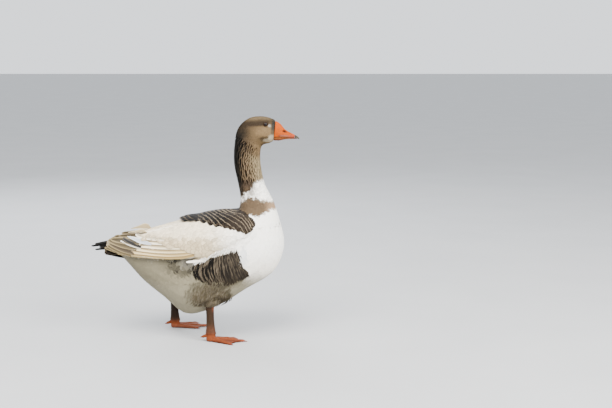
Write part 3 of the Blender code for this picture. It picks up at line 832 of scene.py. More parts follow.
# %% [markdown]
# ## Breast, belly and rump
# The contour feathers of the trunk are white, soft and almost alike. They are laid closer and shorter on the
# breast, longer and looser on the belly, where mud and melting snow have stained them.

# %% Trunk coat
NECK_END = PLACE["neck_base"] + 0.012
skin_wing = on_wing(skin_co, 5.5 * MM)


def in_flank(p):
    return (edge_distance(p, "flank") > 0) & (np.abs(p[:, 1]) > 0.05) & (p[:, 2] < 0.30)


def in_saddle(p):
    return (edge_distance(p, "saddle") > 0) & (p[:, 2] > 0.29)


def only(found, chosen):
    return tuple(values[chosen] for values in found)


TRUNK = [NECK_END, PLACE["shoulder"], PLACE["belly"], PLACE["tail_root"]]


def trunk_length(s):
    return np.interp(s, TRUNK, [11, 20, 30, 26]) * MM


def on_trunk(places, s, turn):
    return (s > NECK_END - 0.02) & (skin_wing[faces[:, 0]] < 0.5)


found = scatter(lambda p, s: np.interp(s, TRUNK, [3.2, 4.6, 6.2, 5.0]) * MM, on_trunk)
tips = found[0] + found[2] * trunk_length(found[3])[:, None] * 0.8
found = only(found, ~in_flank(tips) & ~in_saddle(tips) & (tips[:, 0] > -0.238))
for part, chosen in (("front", found[0][:, 0] > 0.06), ("rear", found[0][:, 0] <= 0.06)):
    places, normals, ways, s, turn = group = only(found, chosen)
    room, length = coat_depth(places, s), trunk_length(s)
    colours = tint(plumage(places + ways * length[:, None] * 0.75, s, turn, rows=False), 0.025)
    coat(f"{part}_body_feathers", "white_plumage", soft_vane, SMALL, group, length, length * 0.66,
         room * 0.80, blade_shape(SMALL, 0.5, 0.5), colours, np.clip(colours * 1.05, 0, 1), arch=0.15,
         wild=0.14, rise=0.33)

# %% [markdown]
# ## Face and crown
# The feathers of the face are the smallest of all, three to six millimetres, and lie so close that they look
# like velvet. They start at the edge of the bill and grow back over the crown and cheeks.

# %% Head coat
EYE_PLACE = (0.2050, 0.0210, 0.6083)
BARE_ROUND_EYE = 0.0072


def on_face(p, s, turn):
    eye_gap = np.hypot(p[:, 0] - EYE_PLACE[0], p[:, 2] - EYE_PLACE[2])
    return (s < PLACE["poll"] + 0.012) & (eye_gap > BARE_ROUND_EYE)


FACE = [0.0, PLACE["eye"], PLACE["neck_top"]]
found = scatter(lambda p, s: np.interp(s, FACE, [1.15, 1.5, 2.2]) * MM, on_face)
places, normals, ways, s, turn = found
length = np.interp(s, FACE, [3.2, 4.6, 8.0]) * MM
colours = tint(plumage(places + ways * length[:, None] * 0.5, s, turn), 0.07)
coat("head_feathers", "head_plumage", soft_vane, TINY, found, length, length * 0.42,
     coat_depth(places, s) * 0.85, blade_shape(TINY, 0.5, 0.75), colours, np.clip(colours * 1.12, 0, 1),
     arch=0.12, wild=0.12, sink=0.05)

# %% [markdown]
# ## Furrowed neck
# The neck feathers of grey-type geese stand in ridges with deep grooves between them, as if combed with a
# wide comb. Narrow tufts are planted along wavy ridges about six millimetres apart, over skin painted nearly
# black as shade in the grooves. Each ridged tuft is painted dark at its root, as shade, and light at its tip,
# as light on the crest.

# %% Neck ridges
RIDGES = 37
STEP = 4.2 * MM
neck_span = (PLACE["poll"] + 0.002, NECK_END + 0.004)
tuft_roots = []
for k in range(RIDGES):
    wave, turn_wave = rng.random(2) * 6.28
    for s_here in np.arange(*neck_span, STEP) + rng.uniform(0, STEP):
        wander = 0.028 * math.sin(s_here * 190 + wave) + 0.018 * math.sin(s_here * 430 + turn_wave)
        tuft_roots.append((s_here, (k + 0.5) * 2 * math.pi / RIDGES - math.pi + wander))
tuft_roots = np.array(tuft_roots)
NECK_RADIUS = 0.034
round_finder = KDTree(len(skin_co))
for i in range(len(skin_co)):
    round_finder.insert((outer_s[i], outer_turn[i] * NECK_RADIUS, 0), i)
round_finder.balance()
places, normals = np.empty((len(tuft_roots), 3)), np.empty((len(tuft_roots), 3))
for i, (s_here, angle) in enumerate(tuft_roots):
    close = round_finder.find_n((s_here, angle * NECK_RADIUS, 0), 4)
    share = np.array([1 / (c[2] + 1e-5) for c in close])
    places[i] = (share[:, None] * skin_co[[c[1] for c in close]]).sum(0) / share.sum()
    places[i], normals[i] = (np.array(v) for v in skin_tree.find_nearest(places[i])[:2])
ways, s, turn = surface_frame(places, normals)
found = (places, normals, ways, s, turn)
smooth_part = 1 - neck_ridges(places)
length = (13.5 - 3 * smooth_part) * MM
width = (2.9 + 5.2 * smooth_part) * MM
by_ring = smooth(0.435, 0.420, places[:, 2]) * smooth(0.392, 0.400, places[:, 2])
ragged = rng.normal(0, 1, (len(places), 3)) * (0.7 + 1.4 * by_ring)[:, None] * MM  # frays the ring
colours = plumage(places + ways * 7 * MM + ragged, s, turn)
streaked = (smooth(0.190, 0.160, places[:, 0]) * smooth(0.447, 0.437, places[:, 2])
            * smooth(0.386, 0.392, places[:, 2])
            * (rng.random(len(places)) < 0.30))[:, None] * 0.6  # a few brown feathers in the ring's back
colours = colours * (1 - streaked) + PLUMAGE["collar"] * streaked
lit = smooth_part[:, None]
# Ridged tufts are painted dark at the root, as painted shade in the grooves, and lighter at the tip, as
# painted light on the crests.
lit_ridge_crest = np.clip(colours * 1.34 + 0.003, 0, 1)
shaded_ridge_root = colours * 0.06
neck_vane = vane_material("ridged_neck_keratin", 0.36, 0.76, barbs=0.08)
coat("neck_feathers", "neck_plumage", neck_vane, SMALL, found, length, width, coat_depth(places, s),
     blade_shape(SMALL, 0.4, 0.7), tint(shaded_ridge_root * (1 - lit) + colours * lit, 0.10),
     tint(lit_ridge_crest * (1 - lit) + colours * 1.04 * lit, 0.10), arch=0.7, wild=0.09, sink=-0.2)

# %% [markdown]
# ## Saddle
# The saddle feathers are broad and square-ended, dark with a pale fringe, and stand in rows so even that
# the fringes join into stripes. Random roots would never line up like that, so each root is drawn on to its
# row, and the roots along one row are evenly spaced. Every such feather has its own cell in the map, because
# it carries a pattern.

# %% Rows of fringed feathers
def saddle_field(p):
    """Grows backwards and outwards, so that its level lines run forwards down each side."""
    outward = np.hypot(p[:, 1], 0.365 - p[:, 2])
    return -p[:, 0] + (0.50 + 0.25 * smooth(0.10, 0.17, p[:, 0])) * outward


def saddle_rows(step_along):
    """Roots on the saddle's rows, which are evenly spaced level lines of the field."""
    places, owner = candidates(lambda p, s: np.full(len(p), 1.5 * MM),
                               lambda p, s, t: (edge_distance(p, "saddle") > -0.035) & (p[:, 2] > 0.29))
    number = np.interp(saddle_field(places), [-0.16, -0.10, -0.06, 0.14], [0, 6.6, 10.0, 24.6])
    close = np.abs(number - np.round(number)) < 0.06
    places, owner, number = places[close], owner[close], np.round(number[close])
    normals = unit(skin_normal[faces[owner]].mean(1))
    picked = []
    for side in (-1, 1):  # each row is followed from the back downwards
        for row in np.unique(number):
            group = np.flatnonzero((number == row) & (places[:, 1] * side > 0))
            if not len(group):
                continue
            height = np.arctan2(places[group, 2] - 0.22, np.abs(places[group, 1]))
            group = group[np.argsort(-height)]
            gap = rng.uniform(0, 1) * step_along
            picked.append(group[0])
            for i in group:
                if np.linalg.norm(places[i] - places[picked[-1]]) > gap:
                    picked.append(i)
                    gap = step_along * rng.uniform(0.85, 1.15)
    picked = np.array(picked)
    places, normals = places[picked], normals[picked]
    step = 0.5 * MM
    slope = np.stack([(saddle_field(places + d) - saddle_field(places - d)) / (2 * step)
                      for d in np.eye(3) * step], 1)
    _, s, turn = body_frame(places)
    return places, normals, along_surface(slope, normals), s, turn


found = saddle_rows(5.5 * MM)
front = smooth(0.09, 0.15, found[0][:, 0])
length = (31 - 11 * front) * MM
tips = found[0] + found[2] * length[:, None]
middles = found[0] + found[2] * length[:, None] * 0.30
chosen = in_saddle(tips) & in_saddle(middles + [-0.004, 0, 0])
places, normals, ways, s, turn = found = only(found, chosen)
front, length = front[chosen], length[chosen]
hind = smooth(0.04, 0.00, places[:, 0])
along = BROAD[0][:, 1]
browner = 1.3 - 0.3 * smooth(0.45, 0.80, along)  # at its root; a feather is darkest just before its pale tip
body = tint(PLUMAGE["saddle"] * (0.62 + 1.68 * front)[:, None], 0.14)[:, None] * browner[None, :, None]
pale = tint(PLUMAGE["fringe"] * (0.64 - 0.02 * hind + 0.42 * front)[:, None], 0.22)
coat("saddle_feathers", "wing_plumage", barred_vane, BROAD, found, length, (19 - 6 * front) * MM,
     coat_depth(places, s) * 0.95 + hind * 7 * MM, blade_shape(BROAD, 0.6, 0.12, square=3.0),
     np.clip(body, 0, 1), np.repeat(pale[:, None], len(along), 1), arch=0.4, wild=0.05, sink=0.6,
     scatter_size=0.03, uv=cell_uv(BROAD, len(places)))

# %% [markdown]
# ## Lower edge of the saddle
# Cut off by its region alone, the saddle would end in a ruled line. Smaller feathers are planted one by one
# along that edge instead, and point back and down over the white wing.

# %% Small feathers along the saddle's lower edge
def side_root(side, x, z, *more):
    """A list with the skin's place and normal at a point of the side view, empty where there is no skin."""
    place, normal = skin_tree.ray_cast(Vector((x, side * 0.4, z)), Vector((0, -side, 0)))[:2]
    return [] if place is None else [(*place, *normal, *more)]


def planted(roots):
    """Places, normals, distances along the body and turns of roots that were found one by one."""
    roots = np.array(roots)
    _, s, turn = body_frame(roots[:, :3])
    return roots[:, :3], roots[:, 3:6], s, turn


SADDLE_EDGE = np.array([(-0.052, 0.3290), (-0.026, 0.3325), (0.017, 0.3400), (0.038, 0.3370), (0.069, 0.3315),
                        (0.102, 0.3255), (0.125, 0.3205), (0.148, 0.3130), (0.163, 0.3160), (0.172, 0.3250),
                        (0.175, 0.337)])
roots = []
for side in (-1, 1):
    for t in np.linspace(0, 1, 84):
        place = t * (len(SADDLE_EDGE) - 1)
        x, z = (np.interp(place, range(len(SADDLE_EDGE)), SADDLE_EDGE[:, k]) for k in (0, 1))
        if x > 0.152:
            break
        roots += side_root(side, x + 0.006, z + rng.uniform(0.003, 0.008))
places, normals, s, turn = planted(roots)
ways = along_surface(np.array([-0.9, 0, -0.55]), normals)
dark = tint(np.tile(PLUMAGE["saddle"] * [1.2, 1.0, 0.9], (len(places), 1)), 0.2)
coat("saddle_edge_feathers", "wing_plumage", barred_vane, SMALL, (places, normals, ways, s, turn),
     rng.uniform(10, 14, len(places)) * MM, np.full(len(places), 10 * MM), coat_depth(places, s) * 1.1,
     blade_shape(SMALL, 0.7, 0.25), dark, np.tile(PLUMAGE["fringe"] * 0.45, (len(places), 1)), arch=0.3,
     wild=0.12, sink=0.6)

# %% [markdown]
# ## Flank
# The flank feathers are as dark as the saddle's, but loose and wet, and their pale fringes run together into
# long streaks. Narrow strands are planted along the curved lines of these streaks, and a wave that runs
# across the lines makes some strands pale and others dark.

# %% Flank, combed into streaks
LINE_X = [0.026, 0.049, 0.0745, 0.105, 0.140]  # x of a few streaks at z 0.22, then their slope and bend there
LINE_SLOPE = [0.21, 0.06, -0.11, -0.224, -0.43]
LINE_BEND = [30, 17, 10, 4, 0]
roots = []
for side in (-1, 1):
    for u in np.arange(-0.014, 0.190, 2.3 * MM):
        wobble, shade_shift = rng.random() * 6.28, rng.normal(0, 0.15)
        for z in np.arange(0.150, 0.292, 5.5 * MM) + rng.uniform(0, 5.5) * MM:
            dz = z - 0.22
            slope, bend = np.interp(u, LINE_X, LINE_SLOPE), np.interp(u, LINE_X, LINE_BEND)
            x = u + slope * dz + bend * dz**2 / 2 + 0.0006 * math.sin(z * 260 + wobble)
            streak = np.interp(u, [-0.02, 0.045, 0.17], [0, 5.4, 21.0]) + shade_shift
            streak += 0.16 * math.sin(z * 62 + u * 90)
            roots += side_root(side, x, z, -(slope + bend * dz), streak)
places, normals, s, turn = planted(roots)
lean, streak = np.array(roots)[:, 6:].T
ways = along_surface(np.stack([lean, 0 * lean, 0 * lean - 1], 1), normals)
length = rng.uniform(17, 23, len(places)) * MM
tips = places + ways * length[:, None] * 0.85
chosen = in_flank(tips + np.array([1.0, 0, 1.0]) * rng.normal(0, 1.5 * MM, (len(tips), 1)))
chosen &= edge_distance(places, "flank") > -5 * MM
places, normals, ways, s, turn = found = only((places, normals, ways, s, turn), chosen)
length, tips = length[chosen], tips[chosen]
wave = 0.5 + 0.5 * np.cos(2 * np.pi * streak[chosen])
pale_share = (smooth(0.58, 0.95, wave) * (1 - 0.7 * (rng.random(len(wave)) < 0.22)))[:, None] * 0.92
front = smooth(0.06, 0.13, tips[:, 0])[:, None]
dark = PLUMAGE["flank"] * (0.52 + 1.93 * front)
pale = PLUMAGE["fringe"] * (0.74 - 0.32 * front)
colours = tint(dark * (1 - pale_share) + pale * pale_share, 0.20)
frayed = smooth(0.184, 0.166, tips[:, 2] + rng.normal(0, 0.004, len(tips)))[:, None] * 0.60
colours = colours * (1 - frayed) + rgb("3B3226") * frayed
coat("flank_feathers", "white_plumage", soft_vane, TINY, found, length, np.full(len(places), 3.3 * MM),
     coat_depth(places, s) * (1.0 + 0.25 * pale_share[:, 0]), blade_shape(TINY, 0.6, 0.8), colours * 0.85,
     np.clip(colours * 1.15, 0, 1), arch=0.5, wild=0.05, sink=0.3, rise=0.6)

# %% [markdown]
# ## Wisps over the flank
# Along the flank's upper edge the white feathers of the wing and breast hang over the dark patch in thin
# wisps. They are the narrowest blades, scattered along the edge and leaning down and back.

# %% White wisps over the flank's upper edge
EDGE_LINE = np.array([(0.012, 0.2335), (0.026, 0.2365), (0.040, 0.2421), (0.054, 0.2478), (0.068, 0.2561),
                      (0.087, 0.2642), (0.104, 0.2694), (0.1265, 0.2720)])
WISPS = 170
roots = []
for side in (-1, 1):
    for t in rng.random(WISPS):
        x = 0.016 + t * 0.112
        z = np.interp(x, *EDGE_LINE.T) + rng.uniform(-0.001, 0.007)
        roots += side_root(side, x, z)
places, normals, s, turn = planted(roots)
lean = np.array([-0.75, 0, -0.75]) + np.array([0.45, 0, -0.3]) * smooth(0.04, 0.11, places[:, 0])[:, None]
ways = along_surface(lean, normals)
length = rng.uniform(7, 17, len(places)) * MM
white = tint(np.tile(PLUMAGE["white"] * 0.97, (len(places), 1)), 0.03)
coat("flank_wisps", "white_plumage", soft_vane, TINY, (places, normals, ways, s, turn), length,
     np.full(len(places), 2.9 * MM), coat_depth(places, s) * 1.25, blade_shape(TINY, 0.7, 0.9), white,
     white, arch=0.2, wild=0.16, sink=0.9, rise=0.4)

# %% [markdown]
# ## Wet tufts over the legs
# Round the top of the legs the feathers are soaked, and stick together in pointed tufts the colour of mud.
# Narrow blades hang down there, each at its own slant, and stand off the skin in front of the leg.

# %% Wet tufts over the legs
TUFTS = 950
roots = []
for side in (-1, 1):
    for _ in range(TUFTS):
        x, z = rng.uniform(-0.018, 0.112), rng.uniform(0.108, 0.184)
        if rng.random() < 1.5 - 1.1 * np.hypot((x - 0.052) / 0.056, (z - 0.142) / 0.042):
            roots += side_root(side, x, z)
places, normals, s, turn = planted(roots)
bushy = smooth(0.055, 0.085, places[:, 0]) * smooth(0.150, 0.135, places[:, 2])  # free in front of the leg
lean = rng.normal(-0.25, 0.18, len(places))
ways = along_surface(np.stack([lean, 0 * lean, 0 * lean - 1], 1), normals, 1 - 0.75 * bushy[:, None])
tones = np.array([rgb(h) for h in ("857A66", "7A6F5B", "6A5F4B", "8D826E", "72674F")])
pick = tint(tones[rng.integers(0, len(tones), len(places))], 0.06)
low = smooth(0.140, 0.116, places[:, 2])[:, None] * 0.70
pick = pick * (1 - low) + rgb("43382A") * low
pick *= 1 - 0.22 * smooth(0.148, 0.160, places[:, 2])[:, None]
rim = smooth(0.55, 1.0, np.hypot((places[:, 0] - 0.052) / 0.068, (places[:, 2] - 0.140) / 0.050))
rim = rim[:, None] * 0.85  # the outer tufts fade into the belly
pick = pick * (1 - rim) + plumage(places, s, turn, rows=False) * rim
coat("leg_tufts", "white_plumage", soft_vane, TINY, (places, normals, ways, s, turn),
     rng.uniform(12, 20, len(places)) * MM, rng.uniform(2.4, 4.2, len(places)) * MM,
     coat_depth(places, s) * (1.2 + 1.6 * bushy), blade_shape(TINY, 0.7, 0.9), pick * 0.82,
     np.clip(pick * 1.02, 0, 1), arch=0.3, wild=0.16, sink=0.7, rise=0.5)

# %% [markdown]
# ## Wing coverts and flight feathers
# Small cream coverts clothe the front and top of the folded wing. Below and behind them lie the long
# secondaries and tertials, one over the other like slats, each with a pale edge and a thin shadow line
# under it. They are drawn in the side view as paths and then laid on the wing's own outer face.

# %% Small and middle coverts
found = scatter(lambda p, s: np.interp(p[:, 0], [-0.2, 0.1, 0.17], [8.5, 6.5, 4.6]) * MM,
                lambda p, s, t: skin_wing[faces[:, 0]] > 0.5)
places, normals, ways, s, turn = found
length = np.interp(places[:, 0], [-0.2, 0.0, 0.15], [46, 38, 18]) * MM
tips = places + ways * length[:, None] * 0.8
hem = np.interp(tips[:, 2], [0.242, 0.250, 0.262, 0.272, 0.282, 0.292],
                [0.006, 0.008, -0.004, -0.030, -0.090, -0.110])
before_hem = tips[:, 0] > hem + rng.normal(0, 5 * MM, len(tips))
chosen = ~in_saddle(tips) & (before_hem | ((normals[:, 2] > 0.80) & (tips[:, 0] > -0.140)))
places, normals, ways, s, turn = found = only(found, chosen)
length, tip_x, tip_z = length[chosen], tips[chosen, 0], tips[chosen, 2]
colours = plumage(places + ways * length[:, None] * 0.6, s, turn, rows=False)
low_down = smooth(0.308, 0.284, tip_z) * smooth(0.105, 0.050, tip_x)
rim = np.interp(tip_x, [-0.09, -0.02, 0.04, 0.10, 0.152, 0.176], [0.239, 0.240, 0.250, 0.271, 0.298, 0.320])
# a painted shadow line along the wing's lower front edge
shadow_along_rim = (smooth(0.010, 0.002, np.abs(tip_z - 0.004 - rim)) * smooth(0.02, 0.05, tip_x)
          * smooth(0.17, 0.14, tip_x))
# random tan stains, a tan band low on the wing that is partly real tan and partly painted shade in the dip
# above the slats, and the painted shadow line
stain_and_shade = (0.02 + 0.20 * rng.random(len(places))**3
         + low_down * (0.54 + 0.14 * smooth(0.272, 0.250, tip_z)) * rng.uniform(0.3, 1.6, len(places)))
stain_and_shade = np.clip(stain_and_shade + 0.22 * shadow_along_rim, 0, 0.50)
colours = tint(blend(colours, "tan", stain_and_shade), 0.04) * (1 - low_down[:, None] * [0.02, 0.06, 0.16])
covert_vane = vane_material("covert_feather_keratin", 0.86, 0.98, barbs=0.10, shaft=0.05, edge=0.25)
coat("wing_coverts", "wing_plumage", covert_vane, SMALL, found, length, length * 0.48,
     coat_depth(places, s) * 0.9, blade_shape(SMALL, 0.5, 0.45), np.clip(colours * 1.02, 0, 1),
     blend(colours, "tan", 0.16 + low_down * 0.26), arch=0.5, wild=0.05, sink=0.3, rise=0.45)

# %% Paths of the flight feathers
def wing_low(x):
    return np.interp(x, [-0.250, -0.235, -0.200, -0.160, -0.090, -0.020, 0.040, 0.080],
                     [0.262, 0.2555, 0.2435, 0.2395, 0.2385, 0.240, 0.250, 0.262])


def wing_face(side, x, z, low_limit, high_limit):
    """The outer face of the folded wing in the side view."""
    z = min(max(z, low_limit), high_limit)
    hit = wing_trees[side].ray_cast(Vector((x, side * 0.4, z)), Vector((0, -side, 0)))
    return hit[0].y if hit[0] is not None else None


def wing_high(x):
    return np.interp(x, [-0.25, -0.20, -0.15, -0.09, -0.02, 0.04, 0.08],
                     [0.277, 0.291, 0.301, 0.316, 0.337, 0.352, 0.356])


def side_blade(side, path, tilt, lift, tip_round, taper=0.0):
    """Points of a long blade whose middle follows (x, z, width) from the side, with a raised lower edge."""
    across, _, layer = LONG[0].T
    wide, reach = blade_shape(LONG, 0.7, tip_round, taper=taper)
    path = np.array(path)
    span = np.concatenate([[0], np.cumsum(np.linalg.norm(np.diff(path[:, :2], axis=0), axis=1))])
    at = reach * span[-1]
    x, z = np.interp(at, span, path[:, 0]), np.interp(at, span, path[:, 1])
    step = 1 * MM
    dx = np.interp(at + step, span, path[:, 0]) - np.interp(at - step, span, path[:, 0])
    dz = np.interp(at + step, span, path[:, 1]) - np.interp(at - step, span, path[:, 1])
    norm = np.hypot(dx, dz)
    shift = across * wide * np.interp(at, span, path[:, 2]) / 2
    x2, z2 = x + dz / norm * shift, z - dx / norm * shift
    made = np.empty((len(across), 3))
    last = side * 0.06
    for i in range(len(across)):
        low, high = float(wing_low(x2[i])) + 2.5 * MM, float(wing_high(x2[i])) - 4 * MM
        y = wing_face(side, max(x2[i], -0.246), z2[i], low, max(low, high))
        last = y if y is not None else last
        height = -4 * MM + lift + tilt * (0.5 - across[i] / 2) + layer[i] * 0.1 * MM
        height += 0.5 * MM * (1 - across[i]**2)
        made[i] = (x2[i], last + side * height, z2[i])
    return made


# %% Secondaries and tertials
def blades(name, slot, material, points, base, fringe, *nodes):
    """Long separate feathers as one piece, each with a cell of its own in the map."""
    count = len(points)
    values = {"plumage": np.array(base), "fringe": np.array(fringe), "vane": vane_values(LONG, count)}
    mesh = joined(name, np.array(points), LONG[1], values, cell_uv(LONG, count))
    finish_piece(name, mesh, material, slot, *nodes)
    print(f"{name}: {count} feathers, {count * len(LONG[1])} triangles")


SLATS = (  # height of the lower edge above the wing's edge in mm, tip x, then edge, middle and shaded colours
    (2.0, -0.2140, "A08A5B", "8D7850", "625338"), (9.5, -0.1900, "D2B98A", "9C8860", "5A4C34"),
    (18.0, -0.1750, "DCC9A0", "B8A47C", "645640"), (28.0, -0.1580, "E6D8BA", "C8B896", "74664C"),
    (38.5, -0.1440, "E6DAC2", "CCBE9F", "7C6C50"), (48.5, -0.1340, "EAE0CC", "D2C6AA", "84755A"),
    (58.0, -0.1600, "EDE4D2", "DCD0B8", "B0A080"), (68.0, -0.1600, "EFE7D8", "DED2BA", "B0A080"),
    (78.0, -0.1500, "EFE7D8", "DCD0B8", "A69674"))
SLAT = 27 * MM
across, along = LONG[0][:, 0], LONG[0][:, 1]
points, base, fringe = [], [], []
for side in (-1, 1):
    for k, (rise_mm, tip, edge, middle, shaded) in enumerate(SLATS):
        xs = np.linspace(0.062 - 0.004 * k, tip + rng.normal(0, 1.0 * MM), 24)
        low = np.where(xs < -0.155, np.minimum(wing_low(xs), 0.2412), wing_low(xs))  # its end hangs a little
        room = wing_high(xs) - low
        offset = np.minimum(rise_mm * MM, (room - 6 * MM) * 0.92)
        wide = np.clip(room - offset - 1 * MM, 6 * MM, SLAT)
        wide = wide * (1 - 0.80 * smooth(0.045, 0.0, xs - xs[-1])**1.5)  # runs to a point at its lower edge
        zs = low + offset + wide / 2 + 0.0004 * np.sin(xs * 40 + k)
        made = side_blade(side, np.stack([xs, zs, wide], 1), 3.2 * MM, 0.0001 * k, 0.02)
        points.append(made)
        bright = smooth(-0.55, -0.95, across)[:, None]
        # a painted shadow line just under the edge of the slat above, fading towards the front
        deep = smooth(-0.75, -0.40, across)[:, None] * (1 - 0.90 * smooth(-0.060, 0.000, made[:, 0]))[:, None]
        tone = rgb(middle) * (1 - bright) + rgb(edge) * bright
        tone = tone * (1 - deep) + rgb(shaded) * deep
        worn = smooth(-0.110, -0.185, made[:, 0])[:, None] * 0.82
        tone = tone * ([0.92, 0.88, 0.80] if k < 3 else [0.97, 0.96, 0.94])
        base.append(tone * (1 - worn) + rgb("6E5E42") * worn)
        fringe.append(np.tile(rgb(edge), (len(along), 1)) * (1 - 0.25 * worn))
blades("secondaries", "quills", quill_vane, points, base, fringe, "wing_left", "wing_right")

# %% [markdown]
# ## Wing end and ruffled feathers
# A folded wing is never quite tidy. Its end is a bundle of worn, darker feathers, and a few single ones stand
# up over the back or lie across the others. Each of these is laid one by one, along a path of its own.

# %% Wing end and ruffled feathers
def free_blade(root, tip, width, twist, bow=0.0, taper=0.3, tip_round=0.10):
    """Points of a blade that stands free: from root to tip, turned about its length, with a slight bow."""
    across, _, layer = LONG[0].T
    wide, reach = blade_shape(LONG, 0.55, tip_round, taper=taper)
    root, tip = np.array(root), np.array(tip)
    ahead = unit(tip - root)
    flat = unit(np.cross(ahead, [0, 0, 1.0]))
    up = np.cross(flat, ahead)
    side = flat * math.cos(twist) + up * math.sin(twist)
    out = np.cross(side, ahead)
    out = out * np.sign(out[2] + 1e-6)
    centre = root + (tip - root) * reach[:, None] + out * (bow * (4 * reach * (1 - reach)))[:, None]
    dome = (1 - across**2) * 0.4 * MM + layer * 0.12 * MM
    return centre + side * (across * wide * width / 2)[:, None] + out * dome[:, None]


LOOSE = [  # side, root x and z, tip x and z, width in mm, tilt, height, colour, edge colour
    (-1, -0.142, 0.2650, -0.2060, 0.2795, 5, 0.5, 3.4, "D8D0C0", "F4EFE4"),
    # a near-black blade as a painted shadow in the gap above the pale feather
    (-1, -0.142, 0.2690, -0.2010, 0.2860, 9, 0.5, 3.6, "2E2C2A", "4A4642"),
    # a dark blade along the wing's upper edge, as a painted shadow under the feathers above
    (-1, -0.130, 0.3020, -0.1640, 0.3000, 5, 0.2, 4.4, "4A4032", "5A4E3C"),
    (1, -0.130, 0.2720, -0.2000, 0.2835, 11, 0.5, 1.4, "6E6250", "D8CDB6")]
for side in (-1, 1):  # the uppermost tertials, ruffled up a little over the back
    LOOSE += [(side, -0.075, 0.2930, -0.1640, 0.2970, 15, 0.8, 4.3, "CFC2A8", "E9E0CF"),
              (side, -0.135, 0.2960, -0.2130, 0.2915, 11, 0.6, 1.6, "574C3A", "7C6E55")]
WING_END = [(-0.150, 0.2790, -0.2360, 0.2815), (-0.155, 0.2640, -0.2430, 0.2780),
            (-0.162, 0.2520, -0.2400, 0.2710), (-0.170, 0.2470, -0.2440, 0.2650),
            (-0.180, 0.2480, -0.2510, 0.2580)]
for side in (-1, 1):
    for k, (x0, z0, x1, z1) in enumerate(WING_END[::-1]):
        tone = ("6E6044", "5E5139", "54493A", "62563F", "564C39")[k]
        width = 16 if k else 11
        LOOSE.append((side, x0, z0, x1 + side * 0.002, z1, width, 2.2, 1.4 + 0.15 * k, tone, "857656"))
points, base, fringe = [], [], []
for side, x0, z0, x1, z1, width, tilt, height, tone, pale in LOOSE:
    path = [(x0 + (x1 - x0) * t, z0 + (z1 - z0) * t**1.2, width * MM) for t in np.linspace(0, 1, 12)]
    points.append(side_blade(side, path, tilt * MM, height * MM, 0.12, taper=0.25))
    # each blade painted darker over its upper half, as painted shade under the blade above
    deep = smooth(-0.60, -0.10, across)[:, None] * 0.45
    base.append(rgb(tone) * (1 - deep))
    fringe.append(np.tile(rgb(pale), (len(along), 1)))
for side in (-1, 1):  # one pale tertial stands up behind the saddle
    path = np.array([(-0.105, 0.2990, 4), (-0.130, 0.3030, 5), (-0.141, 0.3100, 17), (-0.148, 0.3105, 17),
                     (-0.165, 0.3075, 9), (-0.186, 0.3040, 2)])
    low = (1 - side) / 2  # lower on the right
    path = (path - [0, 0.002 * low, 0]) * [1, 1, (1 - 0.45 * low) * MM]
    points.append(side_blade(side, path, 1.0 * MM, 2.4 * MM, 0.02))
    # its lower edge painted darker, as painted shade under the raised feather
    base.append(np.tile(rgb("A89878"), (len(along), 1)) * (1 - 0.35 * smooth(-0.2, -0.8, across)[:, None]))
    fringe.append(np.tile(rgb("C9BB9C"), (len(along), 1)))
path = np.array([(-0.112, 0.2775, 7), (-0.1224, 0.2795, 10), (-0.1439, 0.2832, 12), (-0.1661, 0.2875, 7),
                 (-0.1880, 0.2905, 1.5)])
points.append(side_blade(-1, path * [1, 1, MM], 0.8 * MM, 3.7 * MM, 0.02))  # the white one, on one side
# a white feather painted blue-grey, as painted shade, and darker along its upper edge, also as painted shade
base.append(np.tile(rgb("B2B7BC"), (len(along), 1)) * (1 - 0.25 * smooth(0.2, 0.9, across)[:, None]))
fringe.append(np.tile(rgb("E0E2E3"), (len(along), 1)))
for side in (-1, 1):  # the white feather that shows below the wing's edge
    points.append(free_blade((0.034, side * 0.1290, 0.2385), (-0.012, side * 0.1235, 0.2335), 8 * MM,
                             -side * 1.3))
    base.append(np.tile(rgb("F0E8D8"), (len(along), 1)))
    fringe.append(base[-1])
loose_vane = vane_material("worn_flight_feather_keratin", 0.93, 0.99, barbs=0.10, shaft=0.2, edge=1.5,
                           roughness=0.6)
blades("ruffled_feathers", "quills", loose_vane, points, base, fringe)

# %% [markdown]
# ## Primaries
# The longest flight feathers show behind the folded wing as nearly black tips. They stand free of the body,
# so each blade runs straight from its root under the wing to its tip, with a slight bow.

# %% Primaries
points, base, fringe = [], [], []
PRIMARY_PATHS = [(0.2770, -0.2945, 0.012, 0.2600), (0.2640, -0.2830, 0.016, 0.2505),  # root z, then the tip
                 (0.2740, -0.2640, 0.020, 0.2640), (0.2600, -0.2600, 0.022, 0.2560)]
for side in (-1, 1):
    for k, (z0, x, y, z) in enumerate(PRIMARY_PATHS):
        x, z = (x, z) if side < 0 else (x + 0.006, z + 0.0015)
        root, width = (-0.175, side * (0.036 + 0.003 * k), z0), (12.0 - 0.5 * k) * MM
        points.append(free_blade(root, (x, side * y, z), width, side * 1.0, bow=1.0 * MM,
                                 taper=0.45, tip_round=0.05))
        dark = smooth(-0.232, -0.244, points[-1][:, 0])[:, None]
        base.append(rgb("54493A") * (1 - dark) + rgb("0A0908") * dark)
        fringe.append(rgb("A89A80") * (1 - dark) + rgb("14110E") * dark)
blades("primaries", "quills", quill_vane, points, base, fringe,
       "primaries_left", "primaries_right")

# %% [markdown]
# ## Tail
# The tail is a fan of stiff dark feathers, mostly hidden under the wing tips. It is domed, so the outer
# feathers sit lower and are turned further about their length than the middle ones.

